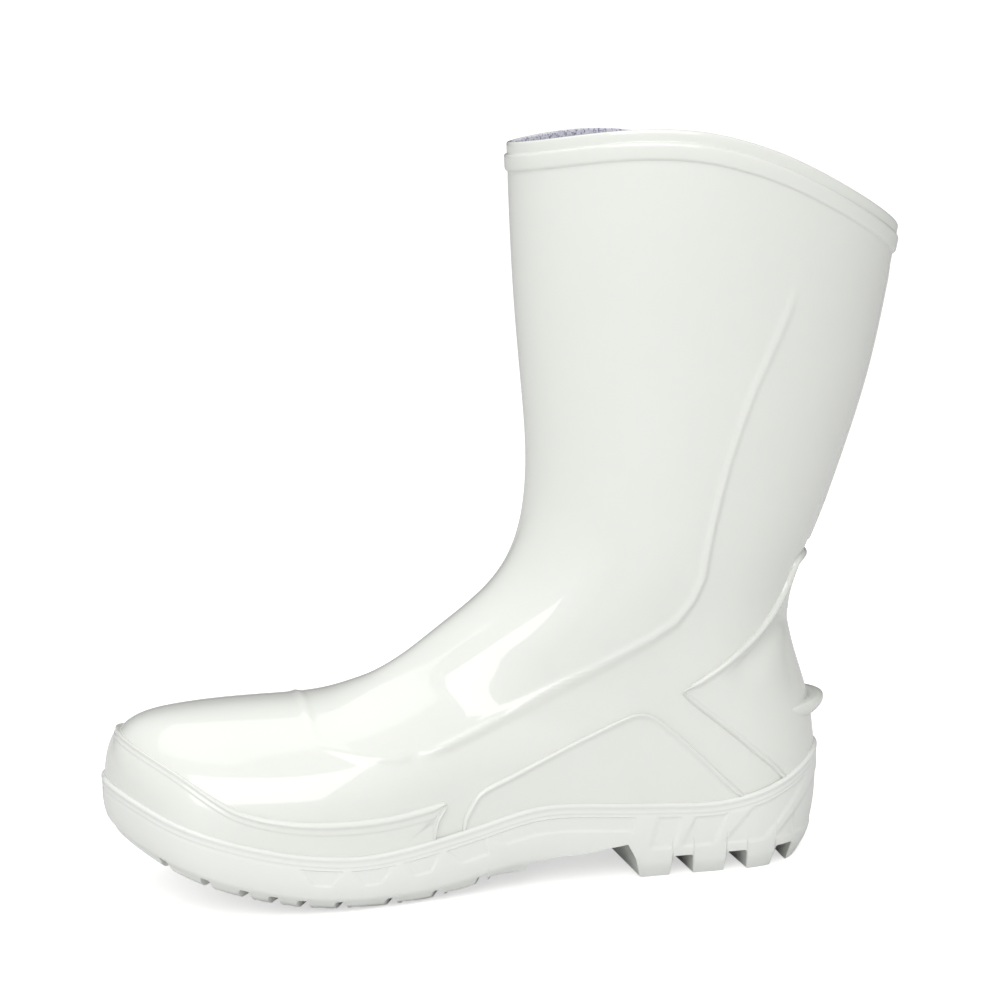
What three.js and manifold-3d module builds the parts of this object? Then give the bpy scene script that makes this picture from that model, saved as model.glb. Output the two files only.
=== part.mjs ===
// A PVC wellington boot for the left foot: a hollow moulded upper, an outsole cup with lugs, and a loose insole.
// Millimetres. The toe points along -X, the outer side of the foot along -Y, and the boot stands on Z = 0.
import * as THREE from "three";
import { mergeVertices } from "three/addons/utils/BufferGeometryUtils.js";
import Module from "manifold-3d";

const wasm = await Module();
wasm.setup();
const { CrossSection, Manifold, Mesh } = wasm;

// Driving sizes
const footLength = 306;
const ankleHeight = 150;
const shaftHeight = 160;
const ballWidth = 104;
const calfWidth = 107;
const wall = 2.4;
const gap = 0.3;

// Sizes of what stands proud of the upper
const guardProud = 1.5;
const panelProud = 1.5;
const counterProud = 1.5;
const ribProud = 1.5;
const ribWidth = 4.5;
const beadProud = 1.1;
const beadHeight = 7;
const lipHeight = 5;
const spurThickness = 8;

// Sizes of the outsole and the insole
const ledge = 2.2;
const sideTuck = 3;
const heelTuck = 9;
const toeTuck = 3;
const rimWidth = 8;
const heelGroove = 9;
const heelGrooveDepth = 9;
const soleGroove = 5;
const soleGrooveDepth = 5.5;
const grooveTurn = 24;
const insoleThickness = 4;
const liningRoom = 1.2;

// How finely the curved forms are divided
const stationsPerRow = 2;
const stepsPerSide = 12;
const outlineSteps = 44;

// Lengths run along the foot from the toe's tip at 0 to the heel's back at 1.
// Heights run up from the floor at 0 to the ankle at 1, and on by the shaft's height to 2.
const along = (share) => share * footLength;
const up = (share) => (share < 1 ? share * ankleHeight : ankleHeight + (share - 1) * shaftHeight);

// A table is a line of column names and a row of shares for each section.
function table(columns, rows) {
  const names = columns.split(" ");
  return rows.map((row) => Object.fromEntries(names.map((name, i) => [name, row[i]])));
}

// Sections fan out from the front line of the leg and foot to the back and bottom line.
// Reach says how quickly a section widens behind the front line, and bulge how square it is.
const SECTIONS = table("frontAlong frontUp backAlong backUp reach bulge", [
  [0.57, 2.12, 1.17, 2.15, 2, 2],
  [0.571, 1.94, 1.146, 1.965, 2, 2],
  [0.573, 1.74, 1.121, 1.76, 2, 2],
  [0.577, 1.54, 1.099, 1.56, 2, 2],
  [0.585, 1.34, 1.076, 1.36, 2, 2],
  [0.591, 1.176, 1.047, 1.195, 2, 2],
  [0.587, 1.05, 1.02, 1.055, 2, 2],
  [0.576, 0.947, 0.995, 0.933, 2, 2],
  [0.558, 0.868, 0.97, 0.825, 2, 2],
  [0.532, 0.804, 0.952, 0.724, 2, 2],
  [0.497, 0.749, 0.957, 0.624, 2, 2],
  [0.463, 0.702, 0.972, 0.53, 2, 2],
  [0.437, 0.665, 0.987, 0.43, 2, 2],
  [0.418, 0.638, 0.993, 0.31, 2.1, 2],
  [0.4, 0.616, 0.993, 0.153, 2.2, 2],
  [0.382, 0.596, 0.94, 0.15, 2.1, 2],
  [0.363, 0.577, 0.855, 0.153, 2, 2.05],
  [0.34, 0.562, 0.737, 0.154, 1.9, 2.1],
  [0.314, 0.546, 0.606, 0.15, 1.75, 2.15],
  [0.285, 0.537, 0.476, 0.123, 1.6, 2.2],
  [0.249, 0.535, 0.362, 0.09, 1.5, 2.25],
  [0.206, 0.534, 0.274, 0.086, 1.45, 2.3],
  [0.161, 0.532, 0.215, 0.11, 1.4, 2.3],
  [0.115, 0.526, 0.172, 0.134, 1.3, 2.3],
  [0.07, 0.517, 0.139, 0.155, 1.1, 2.3],
  [0.03, 0.49, 0.113, 0.174, 0.8, 2.25],
  [0.009, 0.422, 0.087, 0.198, 0.5, 2.2],
  [0.004, 0.335, 0.06, 0.224, 0.3, 2.1],
  [0.003, 0.275, 0.034, 0.25, 0.15, 2],
  [0.009, 0.262, 0.009, 0.262, 0, 2],
]);
const HEEL_CORNER = 13;

// Half widths of the foot from the line of the heel, as shares of the ball's width
const PLAN = table("along outer inner", [
  [-0.02, 0.433, 0.471],
  [0.06, 0.442, 0.481],
  [0.124, 0.462, 0.5],
  [0.19, 0.481, 0.51],
  [0.255, 0.49, 0.5],
  [0.327, 0.481, 0.471],
  [0.405, 0.447, 0.404],
  [0.493, 0.404, 0.341],
  [0.59, 0.365, 0.317],
  [0.706, 0.346, 0.332],
  [0.82, 0.351, 0.351],
  [0.935, 0.351, 0.351],
  [1.1, 0.346, 0.346],
]);

// Half width of the leg as a share of the calf's width, and how far round its back runs, of the foot's length
const LEG = table("up half round", [
  [0, 0.374, 0.124],
  [0.27, 0.369, 0.131],
  [0.47, 0.365, 0.144],
  [0.67, 0.365, 0.17],
  [0.87, 0.381, 0.196],
  [1.09, 0.41, 0.216],
  [1.31, 0.446, 0.235],
  [1.63, 0.481, 0.261],
  [1.94, 0.497, 0.288],
  [2.2, 0.5, 0.3],
]);

// The collar's top edge: a low crown over the front half that falls away to the back
const COLLAR = table("along up", [
  [0.5, 1.955],
  [0.574, 1.968],
  [0.654, 1.991],
  [0.725, 1.999],
  [0.791, 1.99],
  [0.845, 1.965],
  [0.902, 1.93],
  [0.966, 1.874],
  [1.039, 1.804],
  [1.105, 1.737],
  [1.2, 1.64],
]);

// The outsole's top edge, its ground line with the toe spring, and how far its outer rim is bevelled off the ground
const SOLE = table("along edge ground bevel", [
  [-0.02, 0.365, 0.23, 0.01],
  [0.024, 0.335, 0.18, 0.012],
  [0.065, 0.29, 0.134, 0.014],
  [0.111, 0.253, 0.093, 0.018],
  [0.157, 0.22, 0.059, 0.02],
  [0.2, 0.196, 0.034, 0.021],
  [0.242, 0.177, 0.015, 0.02],
  [0.291, 0.163, 0.004, 0.019],
  [0.346, 0.16, 0, 0.018],
  [0.42, 0.183, 0, 0.018],
  [0.48, 0.205, 0.026, 0.012],
  [0.523, 0.226, 0.052, 0.006],
  [0.569, 0.242, 0.056, 0],
  [0.62, 0.236, 0.02, 0],
  [0.68, 0.222, 0, 0],
  [0.742, 0.214, 0, 0],
  [0.812, 0.203, 0, 0],
  [0.862, 0.217, 0, 0],
  [0.911, 0.246, 0, 0],
  [0.951, 0.281, 0, 0],
  [0.974, 0.305, 0, 0],
  [1.02, 0.335, 0, 0],
]);

// The hollow under the waist, from behind the last forefoot lugs to the breast of the heel
const WAIST = table("along up", [
  [0.535, -0.04],
  [0.542, 0.066],
  [0.57, 0.074],
  [0.616, 0.088],
  [0.682, 0.106],
  [0.703, 0.06],
  [0.711, -0.04],
]);

// The outsole's wall from its top edge down to the ground: an outward step as a share of the ledge, and a tuck
// and a bevel as shares of their own sizes. Flat is how far the last ring lies inside the wall, of the rim's width.
const WALL = table("down out tuck bevel flat", [
  [0, 0.4, 0, 0, 0],
  [0.05, 1, 0, 0, 0],
  [0.4, 1.05, 0.03, 0, 0],
  [0.72, 1, 0.3, 0.4, 0],
  [0.9, 0.8, 0.7, 0.9, 0],
  [1, 0.2, 1, 1, 0],
  [1, 0.2, 1, 0, 1],
]);

// Grooves between the lugs, by where they cross the outsole's middle
const HEEL_GROOVES = [0.769, 0.846, 0.918];
const SOLE_GROOVES = [0.06, 0.1, 0.14, 0.185, 0.23, 0.276, 0.32, 0.37, 0.431, 0.492, 0.546];

// Outlines of what stands proud, seen from the side
const GUARD = table("along up", [
  [-0.1, 0.6],
  [0, 0.49],
  [0.03, 0.462],
  [0.083, 0.403],
  [0.146, 0.32],
  [0.215, 0.275],
  [0.29, 0.259],
  [0.367, 0.262],
  [0.434, 0.283],
  [0.424, 0.25],
  [0.418, 0.212],
]);
const PANEL = table("along up", [
  [0.457, 0.222],
  [0.467, 0.255],
  [0.48, 0.292],
  [0.5, 0.313],
  [0.6, 0.392],
  [0.695, 0.462],
  [0.71, 0.471],
  [0.726, 0.467],
  [0.745, 0.447],
  [0.79, 0.352],
  [0.855, 0.227],
]);
const COUNTER = table("along up", [
  [1.1, 1],
  [0.945, 0.845],
  [0.923, 0.742],
  [0.872, 0.648],
  [0.826, 0.59],
  [0.77, 0.52],
  [0.768, 0.508],
  [0.795, 0.46],
  [0.84, 0.385],
  [0.904, 0.262],
  [1.1, 0.36],
]);

const COLOURS = { upper: 0xe6e9e1, outsole: 0xe2e4dc, insole: 0xc9cbd6 };

const clamp = (value, low, high) => Math.min(Math.max(value, low), high);
const mix = (a, b, t) => a + (b - a) * t;

function smooth(low, high, value) {
  const t = clamp((value - low) / (high - low), 0, 1);
  return t * t * (3 - 2 * t);
}

// Rises from 0 to 1 as a quarter of an ellipse, or of a squarer curve where power is over 2.
function quarter(t, power = 2) {
  return (1 - (1 - clamp(t, 0, 1)) ** power) ** (1 / power);
}

// A smooth curve by a table's rows: a cubic B-spline that starts and ends on the end rows.
function blend(rows, at) {
  const s = clamp(at, 0, rows.length - 1);
  const i = Math.min(Math.floor(s), rows.length - 2);
  const t = s - i;
  const [a, b, c, d] = [
    (1 - t) ** 3 / 6,
    (3 * t ** 3 - 6 * t ** 2 + 4) / 6,
    (-3 * t ** 3 + 3 * t ** 2 + 3 * t + 1) / 6,
    t ** 3 / 6,
  ];
  const row = (k, name) => {
    if (k < 0) return 2 * rows[0][name] - rows[1][name];
    if (k >= rows.length) return 2 * rows.at(-1)[name] - rows.at(-2)[name];
    return rows[k][name];
  };
  const value = (name) => a * row(i - 1, name) + b * row(i, name) + c * row(i + 1, name) + d * row(i + 2, name);
  return Object.fromEntries(Object.keys(rows[0]).map((name) => [name, value(name)]));
}

// Reads a table as a function of its first column, which rises from row to row.
function readBy(rows) {
  const first = Object.keys(rows[0])[0];
  const count = 40 * rows.length;
  const samples = Array.from({ length: count + 1 }, (_, k) => blend(rows, (k / count) * (rows.length - 1)));
  return (value) => {
    let high = samples.findIndex((sample) => sample[first] >= value);
    if (high < 0) high = count;
    high = Math.max(high, 1);
    const [a, b] = [samples[high - 1], samples[high]];
    const t = clamp((value - a[first]) / (b[first] - a[first]), 0, 1);
    return Object.fromEntries(Object.keys(a).map((name) => [name, mix(a[name], b[name], t)]));
  };
}

const plan = readBy(PLAN);
const leg = readBy(LEG);
const collar = readBy(COLLAR);
const sole = readBy(SOLE);

// The front line and the back and bottom line at a station, moved outwards by grow.
function lines(station, grow) {
  const at = (s) => {
    const row = blend(SECTIONS, s);
    return {
      front: new THREE.Vector2(along(row.frontAlong), up(row.frontUp)),
      back: new THREE.Vector2(along(row.backAlong), up(row.backUp)),
      reach: row.reach,
      bulge: row.bulge,
    };
  };
  const here = at(station);
  const before = at(station - 0.05);
  const after = at(station + 0.05);
  const frontWay = after.front.clone().sub(before.front).normalize();
  const backWay = after.back.clone().sub(before.back).normalize();
  here.front.add(new THREE.Vector2(frontWay.y, -frontWay.x).multiplyScalar(grow));
  here.back.add(new THREE.Vector2(-backWay.y, backWay.x).multiplyScalar(grow));
  return here;
}

// The upper's outer skin, moved outwards by grow: a point for a station, a share from front to back, and a side.
function skin(grow) {
  const steps = 200;
  const backLine = Array.from({ length: steps + 1 }, (_, k) => lines((k / steps) * HEEL_CORNER, grow).back);
  const backAt = (z) => {
    const found = backLine.findIndex((p) => p.y <= z);
    const i = found < 0 ? steps : Math.max(found, 1);
    const [a, b] = [backLine[i - 1], backLine[i]];
    return mix(a.x, b.x, clamp((z - a.y) / (b.y - a.y), 0, 1));
  };
  return (station, share, side) => {
    const { front, back, reach, bulge } = lines(station, grow);
    const x = mix(front.x, back.x, share);
    const z = mix(front.y, back.y, share);
    const foot = plan(x / footLength);
    const h = z < ankleHeight ? z / ankleHeight : 1 + (z - ankleHeight) / shaftHeight;
    const shin = leg(h);
    const rise = smooth(0.3, 0.9, h);
    const lean = 1 - 0.1 * smooth(0.2, 0.67, h) * (1 - rise);
    const footHalf = ((foot.outer + foot.inner) / 2) * ballWidth;
    const middle = ((foot.inner - foot.outer) / 2) * ballWidth * (1 - rise);
    const half = mix(footHalf, shin.half * calfWidth, rise) * lean + grow;
    const behind = station <= HEEL_CORNER && share > 0.999999 ? 0 : backAt(z) - x;
    const round = quarter(behind / (shin.round * footLength + grow));
    return new THREE.Vector3(x, middle + side * half * quarter(share * reach, bulge) * round, z);
  };
}

// A closed solid by loops of points: each loop joins the next, and the first and last loops are filled across.
function loft(loops) {
  const size = loops[0].length;
  const triangles = [];
  const quad = (a, b, c, d) => triangles.push(a, b, c, a, c, d);
  for (let i = 0; i + 1 < loops.length; i++) {
    for (let j = 0; j < size; j++) {
      const k = (j + 1) % size;
      quad(loops[i][j], loops[i + 1][j], loops[i + 1][k], loops[i][k]);
    }
  }
  const first = loops[0];
  const last = loops.at(-1);
  for (let j = 0; j + 1 < size / 2; j++) {
    quad(first[j], first[j + 1], first[size - 2 - j], first[size - 1 - j]);
    quad(last[j + 1], last[j], last[size - 1 - j], last[size - 2 - j]);
  }
  return solidOf(triangles);
}

// A solid from corner points taken three by three; equal points are merged and empty triangles dropped.
function solidOf(corners) {
  const raw = new THREE.BufferGeometry().setFromPoints(corners);
  const merged = mergeVertices(raw, 1e-3);
  const index = merged.index.array;
  const kept = [];
  for (let i = 0; i < index.length; i += 3) {
    const [a, b, c] = index.subarray(i, i + 3);
    if (a !== b && b !== c && a !== c) kept.push(a, b, c);
  }
  const position = merged.attributes.position.array;
  return new Manifold(new Mesh({ numProp: 3, vertProperties: position, triVerts: Uint32Array.from(kept) }));
}

// The whole leg and foot as one solid, moved outwards by grow, its bottom lowered by drop.
function form(grow, drop = 0) {
  const point = skin(grow);
  const loops = [];
  const count = (SECTIONS.length - 1) * stationsPerRow;
  for (let i = 0; i <= count; i++) {
    const station = i / stationsPerRow;
    const lowered = new THREE.Vector3(0, 0, station > HEEL_CORNER ? -drop : 0);
    const sides = [-1, 1].map((side) => {
      const points = [];
      for (let j = 0; j <= stepsPerSide; j++) {
        points.push(point(station, (1 - Math.cos((Math.PI * j) / stepsPerSide)) / 2, side));
      }
      points.push(points.at(-1).clone().add(lowered));
      return points;
    });
    loops.push([...sides[0], ...sides[1].reverse()]);
  }
  return loft(loops);
}

// An outline in X and Z, given as a table of shares, as a solid between two places in Y.
function sidePrism(points, from = -ballWidth, to = ballWidth) {
  const outline = points.map((p) => [p.x, p.y]);
  return new CrossSection([outline], "NonZero").extrude(to - from).rotate([90, 0, 0]).translate([0, to, 0]);
}

const placed = (rows) => rows.map((row) => new THREE.Vector2(along(row.along), up(row.up)));
const curved = (rows, steps = 4) => {
  const count = (rows.length - 1) * steps;
  return placed(Array.from({ length: count + 1 }, (_, k) => blend(rows, k / steps)));
};

// The collar's edge from front to back, lowered by down.
function collarLine(down) {
  return curved(COLLAR, 3).map((p) => new THREE.Vector2(p.x, p.y - down));
}

function above(line, height) {
  return sidePrism([...line, new THREE.Vector2(line.at(-1).x, height), new THREE.Vector2(line[0].x, height)]);
}

function between(lower, upper) {
  return sidePrism([...lower, ...upper.toReversed()]);
}

// Everything below the outsole's top edge and a little clearance
function belowEdge() {
  const points = [];
  for (let k = 0; k <= outlineSteps; k++) {
    const share = mix(-0.1, 1.2, k / outlineSteps);
    points.push(new THREE.Vector2(along(share), up(sole(share).edge) + 2 * gap));
  }
  points.push(new THREE.Vector2(along(1.2), -ankleHeight), new THREE.Vector2(along(-0.1), -ankleHeight));
  return sidePrism(points);
}

// The kick-off spur: a shelf round the back of the heel
function makeSpur() {
  const middle = along(0.865);
  const back = along(1.022) - middle;
  const side = 0.3 * ballWidth;
  const top = up(0.452);
  const profile = [
    [0, top - spurThickness],
    [back - 9, top - spurThickness],
    [back - 1.5, top - 0.45 * spurThickness],
    [back, top - 0.22 * spurThickness],
    [back - 0.8, top - 0.05 * spurThickness],
    [back - 2.5, top],
    [0, top],
  ];
  return new CrossSection([profile], "NonZero")
    .revolve(48)
    .scale([1, side / back, 1])
    .translate([middle, 0, 0]);
}

function makeUpper() {
  const guard = form(guardProud).intersect(sidePrism(guardOutline()));
  const panels = form(panelProud).intersect(sidePrism(placed(PANEL)));
  const counter = form(counterProud).intersect(sidePrism(placed(COUNTER)));
  const beadTop = collarLine(lipHeight);
  const beadFoot = collarLine(lipHeight + beadHeight);
  const bead = form(beadProud).intersect(between(beadFoot, beadTop));
  const ribZone = Manifold.cube([ankleHeight, ribWidth, 1.68 * ankleHeight - 0.82 * ankleHeight])
    .translate([along(0.93), -ribWidth / 2, 0.82 * ankleHeight]);
  const rib = form(ribProud).intersect(ribZone).subtract(above(beadFoot, up(3)));
  const proud = Manifold.union([guard, panels, counter, bead, rib, makeSpur()]).subtract(belowEdge());
  return form(0)
    .add(proud)
    .subtract(above(collarLine(0), up(3)))
    .subtract(form(-wall, 3 * wall));
}

function guardOutline() {
  return [...placed(GUARD), new THREE.Vector2(along(-0.1), 0)];
}

// The line where the outsole's top edge meets the upper's skin, on one side, from the heel's back to the toe
function edgeLine() {
  const point = skin(0);
  const over = (station, share) => {
    const p = point(station, share, 1);
    return p.z - up(sole(p.x / footLength).edge);
  };
  const heel = cross((s) => over(s, 1), HEEL_CORNER - 3, HEEL_CORNER + 0.5);
  const toe = cross((s) => over(s, 0), SECTIONS.length - 6, SECTIONS.length - 1);
  const points = { [-1]: [], 1: [] };
  for (let k = 0; k <= outlineSteps; k++) {
    const station = mix(heel, toe, (1 - Math.cos((Math.PI * k) / outlineSteps)) / 2);
    let share = cross((a) => over(station, a), 0, 1);
    if (k === 0) share = 1;
    if (k === outlineSteps) share = 0;
    points[-1].push(point(station, share, -1));
    points[1].push(point(station, share, 1));
  }
  points[1][0] = points[-1][0];
  points[1][outlineSteps] = points[-1][outlineSteps];
  return points;
}

// Where a falling function crosses zero
function cross(value, low, high) {
  for (let k = 0; k < 40; k++) {
    const middle = (low + high) / 2;
    if (value(middle) > 0) low = middle;
    else high = middle;
  }
  return (low + high) / 2;
}

// The outsole's wall at each place of the edge line, as rings from its top edge to the ground
function makeBlock() {
  const edge = edgeLine();
  const ringsAt = (k, side) => {
    const line = edge[side];
    const next = k < outlineSteps ? line[k + 1] : edge[-side][k - 1];
    const last = k > 0 ? line[k - 1] : edge[-side][1];
    const way = next.clone().sub(last).setZ(0).normalize();
    const out = new THREE.Vector3(side * way.y, -side * way.x, 0);
    if (k === 0) out.set(1, 0, 0);
    if (k === outlineSteps) out.set(-1, 0, 0);
    const tuck = mix(sideTuck, out.x > 0 ? heelTuck : toeTuck, out.x ** 2);
    return WALL.map((row) => {
      const inward = row.tuck * tuck + row.flat * rimWidth;
      const p = line[k].clone().addScaledVector(out, row.out * ledge - inward);
      const here = sole(p.x / footLength);
      p.z = mix(line[k].z, up(here.ground) + row.bevel * up(here.bevel), row.down);
      return p;
    });
  };
  const loops = [];
  for (let k = 0; k <= outlineSteps; k++) {
    loops.push([...ringsAt(k, -1), ...ringsAt(k, 1).reverse()]);
  }
  return loft(loops);
}

// A groove across the sole at a place along it, turned in plan, from below the ground up to its narrower floor
function groove(share, width, depth, turn, from, to) {
  const mouth = 0.62 * width;
  const floor = 0.45 * width;
  const section = [[-mouth, -depth], [mouth, -depth], [floor, depth], [-floor, depth]];
  return sidePrism(section.map(([x, z]) => new THREE.Vector2(x, z)), from, to)
    .rotate([0, 0, turn])
    .translate([along(share), 0, up(sole(share).ground)]);
}

function makeOutsole() {
  const half = ballWidth;
  const heelCuts = HEEL_GROOVES.map((share) => groove(share, heelGroove, heelGrooveDepth, 0, -half, half));
  const soleCuts = SOLE_GROOVES.flatMap((share) => [
    groove(share, soleGroove, soleGrooveDepth, -grooveTurn, -half, 0),
    groove(share, soleGroove, soleGrooveDepth, grooveTurn, 0, half),
  ]);
  return makeBlock()
    .subtract(sidePrism(curved(WAIST, 2)))
    .subtract(form(gap))
    .subtract(Manifold.union([...heelCuts, ...soleCuts]));
}

// The insole: the room inside the upper, cut to a slab on the cup's floor
function makeInsole() {
  const floor = [];
  const last = SECTIONS.length - 2.5;
  for (let station = HEEL_CORNER + 1.5; station <= last; station += 1 / stationsPerRow) {
    floor.push(lines(station, 0).back);
  }
  const top = floor.map((p) => new THREE.Vector2(p.x, p.y + insoleThickness));
  return form(-wall - liningRoom, 3 * wall).intersect(between(floor, top));
}

function meshOf(name, solid) {
  const { numProp, vertProperties, triVerts } = solid.simplify(0.07).getMesh();
  const count = vertProperties.length / numProp;
  const position = new Float32Array(count * 3);
  for (let i = 0; i < count; i++) {
    position.set(vertProperties.subarray(i * numProp, i * numProp + 3), i * 3);
  }
  const geometry = new THREE.BufferGeometry()
    .setAttribute("position", new THREE.BufferAttribute(position, 3))
    .setIndex(new THREE.BufferAttribute(triVerts, 1));
  geometry.computeVertexNormals();
  const material = new THREE.MeshStandardMaterial({ color: COLOURS[name], roughness: 0.3, metalness: 0 });
  const mesh = new THREE.Mesh(geometry, material);
  mesh.name = name;
  return mesh;
}

const boot = new THREE.Group();
boot.add(meshOf("upper", makeUpper()));
boot.add(meshOf("outsole", makeOutsole()));
boot.add(meshOf("insole", makeInsole()));

// The origin is under the middle of the whole boot.
const box = new THREE.Box3().setFromObject(boot);
const middle = box.getCenter(new THREE.Vector3());
boot.children.forEach((mesh) => mesh.position.set(-middle.x, -middle.y, -box.min.z));

export default boot;
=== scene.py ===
# %% [markdown]
# # A white PVC wellington boot in Blender
# The boot in the photograph is a short work wellington: a glossy white upper, a lugged outsole
# moulded onto it, a knitted lining and a loose insole. This file builds its looks around the
# CAD model, piece by piece, in the same frame, and lights it as a plain studio picture.

# %% The frame
import math

import bmesh
import bpy
import numpy as np
from mathutils import Matrix, Vector


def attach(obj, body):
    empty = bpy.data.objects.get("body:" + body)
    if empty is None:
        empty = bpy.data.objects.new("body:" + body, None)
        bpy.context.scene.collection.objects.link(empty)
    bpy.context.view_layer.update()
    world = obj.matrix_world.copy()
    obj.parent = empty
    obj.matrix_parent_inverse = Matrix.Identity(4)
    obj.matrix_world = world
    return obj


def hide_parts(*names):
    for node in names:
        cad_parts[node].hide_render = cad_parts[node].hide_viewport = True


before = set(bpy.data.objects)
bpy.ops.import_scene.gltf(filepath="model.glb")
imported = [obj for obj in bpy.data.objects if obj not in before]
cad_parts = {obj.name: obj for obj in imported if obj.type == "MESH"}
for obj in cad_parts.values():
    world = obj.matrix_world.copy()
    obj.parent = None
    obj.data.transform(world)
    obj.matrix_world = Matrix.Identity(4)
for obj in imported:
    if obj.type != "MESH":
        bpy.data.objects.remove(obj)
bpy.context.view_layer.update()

# %% [markdown]
# Lengths are kept in millimetres while the shapes are worked out, because a boot's walls, beads
# and grooves are millimetres wide. The toe's tip is at zero along the foot and the heel's back at
# one foot length. Heights run from the floor at 0 to the ankle at 1 and the collar at about 2.
# These are the CAD model's own driving sizes, repeated here so that each piece fits it. The wall
# is the upper's, the gap is what the solids keep between them, and the toe's tip is given in the
# CAD's frame.

# %% The boot's own sizes
FOOT_LENGTH = 306.0
ANKLE_HEIGHT = 150.0
SHAFT_HEIGHT = 160.0
BALL_WIDTH = 104.0
CALF_WIDTH = 107.0
WALL = 2.4
GAP = 0.3
TOE_IN_FRAME = np.array([-170.63, -0.45, 0.0])
MM = 0.001


def up(share):
    """The height in mm of a share."""
    share = np.asarray(share, float)
    return np.where(share < 1, share * ANKLE_HEIGHT, ANKLE_HEIGHT + (share - 1) * SHAFT_HEIGHT)


def height_share(z):
    """The share of a height in mm."""
    return np.where(z < ANKLE_HEIGHT, z / ANKLE_HEIGHT, 1 + (z - ANKLE_HEIGHT) / SHAFT_HEIGHT)


print("heights of the ankle and the leg's end in mm:", float(up(1)), float(up(2)))

# %% [markdown]
# The boot has the form of its last. The CAD model describes that form by sections that fan out
# from the front line of leg and foot to the back and bottom line, so these are the same tables.
# Another way would be to copy the CAD mesh and smooth it, but a formula gives any fineness
# wanted, and it can be grown or shrunk for a wall, a lining or a layer that stands proud.

# %% The tables of the form
# Each row: along and up of the front line, along and up of the back line, reach, bulge.
SECTIONS = np.array([
    [0.57, 2.12, 1.17, 2.15, 2, 2],
    [0.571, 1.94, 1.146, 1.965, 2, 2],
    [0.573, 1.74, 1.121, 1.76, 2, 2],
    [0.577, 1.54, 1.099, 1.56, 2, 2],
    [0.585, 1.34, 1.076, 1.36, 2, 2],
    [0.591, 1.176, 1.047, 1.195, 2, 2],
    [0.587, 1.05, 1.02, 1.055, 2, 2],
    [0.576, 0.947, 0.995, 0.933, 2, 2],
    [0.558, 0.868, 0.97, 0.825, 2, 2],
    [0.532, 0.804, 0.952, 0.724, 2, 2],
    [0.497, 0.749, 0.957, 0.624, 2, 2],
    [0.463, 0.702, 0.972, 0.53, 2, 2],
    [0.437, 0.665, 0.987, 0.43, 2, 2],
    [0.418, 0.638, 0.993, 0.31, 2.1, 2],
    [0.4, 0.616, 0.993, 0.153, 2.2, 2],
    [0.382, 0.596, 0.94, 0.15, 2.1, 2],
    [0.363, 0.577, 0.855, 0.153, 2, 2.05],
    [0.34, 0.562, 0.737, 0.154, 1.9, 2.1],
    [0.314, 0.546, 0.606, 0.15, 1.75, 2.15],
    [0.285, 0.537, 0.476, 0.123, 1.6, 2.2],
    [0.249, 0.535, 0.362, 0.09, 1.5, 2.25],
    [0.206, 0.534, 0.274, 0.086, 1.45, 2.3],
    [0.161, 0.532, 0.215, 0.11, 1.4, 2.3],
    [0.115, 0.526, 0.172, 0.134, 1.3, 2.3],
    [0.07, 0.517, 0.139, 0.155, 1.1, 2.3],
    [0.03, 0.49, 0.113, 0.174, 0.8, 2.25],
    [0.009, 0.422, 0.087, 0.198, 0.5, 2.2],
    [0.004, 0.335, 0.06, 0.224, 0.3, 2.1],
    [0.003, 0.275, 0.034, 0.25, 0.15, 2],
    [0.009, 0.262, 0.009, 0.262, 0, 2],
])
HEEL_CORNER = 13
LAST_STATION = len(SECTIONS) - 1

# Half widths of the foot from the line of the heel, in shares of the ball's width: along, outer, inner.
PLAN = np.array([
    [-0.02, 0.433, 0.471],
    [0.06, 0.442, 0.481],
    [0.124, 0.462, 0.5],
    [0.19, 0.481, 0.51],
    [0.255, 0.49, 0.5],
    [0.327, 0.481, 0.471],
    [0.405, 0.447, 0.404],
    [0.493, 0.404, 0.341],
    [0.59, 0.365, 0.317],
    [0.706, 0.346, 0.332],
    [0.82, 0.351, 0.351],
    [0.935, 0.351, 0.351],
    [1.1, 0.346, 0.346],
])

# Half width of the leg in shares of the calf's width, and how far round its back runs: up, half, round.
LEG = np.array([
    [0, 0.374, 0.124],
    [0.27, 0.369, 0.131],
    [0.47, 0.365, 0.144],
    [0.67, 0.365, 0.17],
    [0.87, 0.381, 0.196],
    [1.09, 0.41, 0.216],
    [1.31, 0.446, 0.235],
    [1.63, 0.481, 0.261],
    [1.94, 0.497, 0.288],
    [2.2, 0.5, 0.3],
])

# The collar's top edge: along, up.
COLLAR = np.array([
    [0.5, 1.955],
    [0.574, 1.968],
    [0.654, 1.991],
    [0.725, 1.999],
    [0.791, 1.99],
    [0.845, 1.965],
    [0.902, 1.93],
    [0.966, 1.874],
    [1.039, 1.804],
    [1.105, 1.737],
    [1.2, 1.64],
])

# The outsole: along, its top edge, its ground line with the toe spring, the bevel off the ground.
SOLE = np.array([
    [-0.02, 0.365, 0.23, 0.01],
    [0.024, 0.335, 0.18, 0.012],
    [0.065, 0.29, 0.134, 0.014],
    [0.111, 0.253, 0.093, 0.018],
    [0.157, 0.22, 0.059, 0.02],
    [0.2, 0.196, 0.034, 0.021],
    [0.242, 0.177, 0.015, 0.02],
    [0.291, 0.163, 0.004, 0.019],
    [0.346, 0.16, 0, 0.018],
    [0.42, 0.183, 0, 0.018],
    [0.48, 0.205, 0.026, 0.012],
    [0.523, 0.226, 0.052, 0.006],
    [0.569, 0.242, 0.056, 0],
    [0.62, 0.236, 0.02, 0],
    [0.68, 0.222, 0, 0],
    [0.742, 0.214, 0, 0],
    [0.812, 0.203, 0, 0],
    [0.862, 0.217, 0, 0],
    [0.911, 0.246, 0, 0],
    [0.951, 0.281, 0, 0],
    [0.974, 0.305, 0, 0],
    [1.02, 0.335, 0, 0],
])
print("sections:", len(SECTIONS), "foot length in mm:", FOOT_LENGTH)

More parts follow.
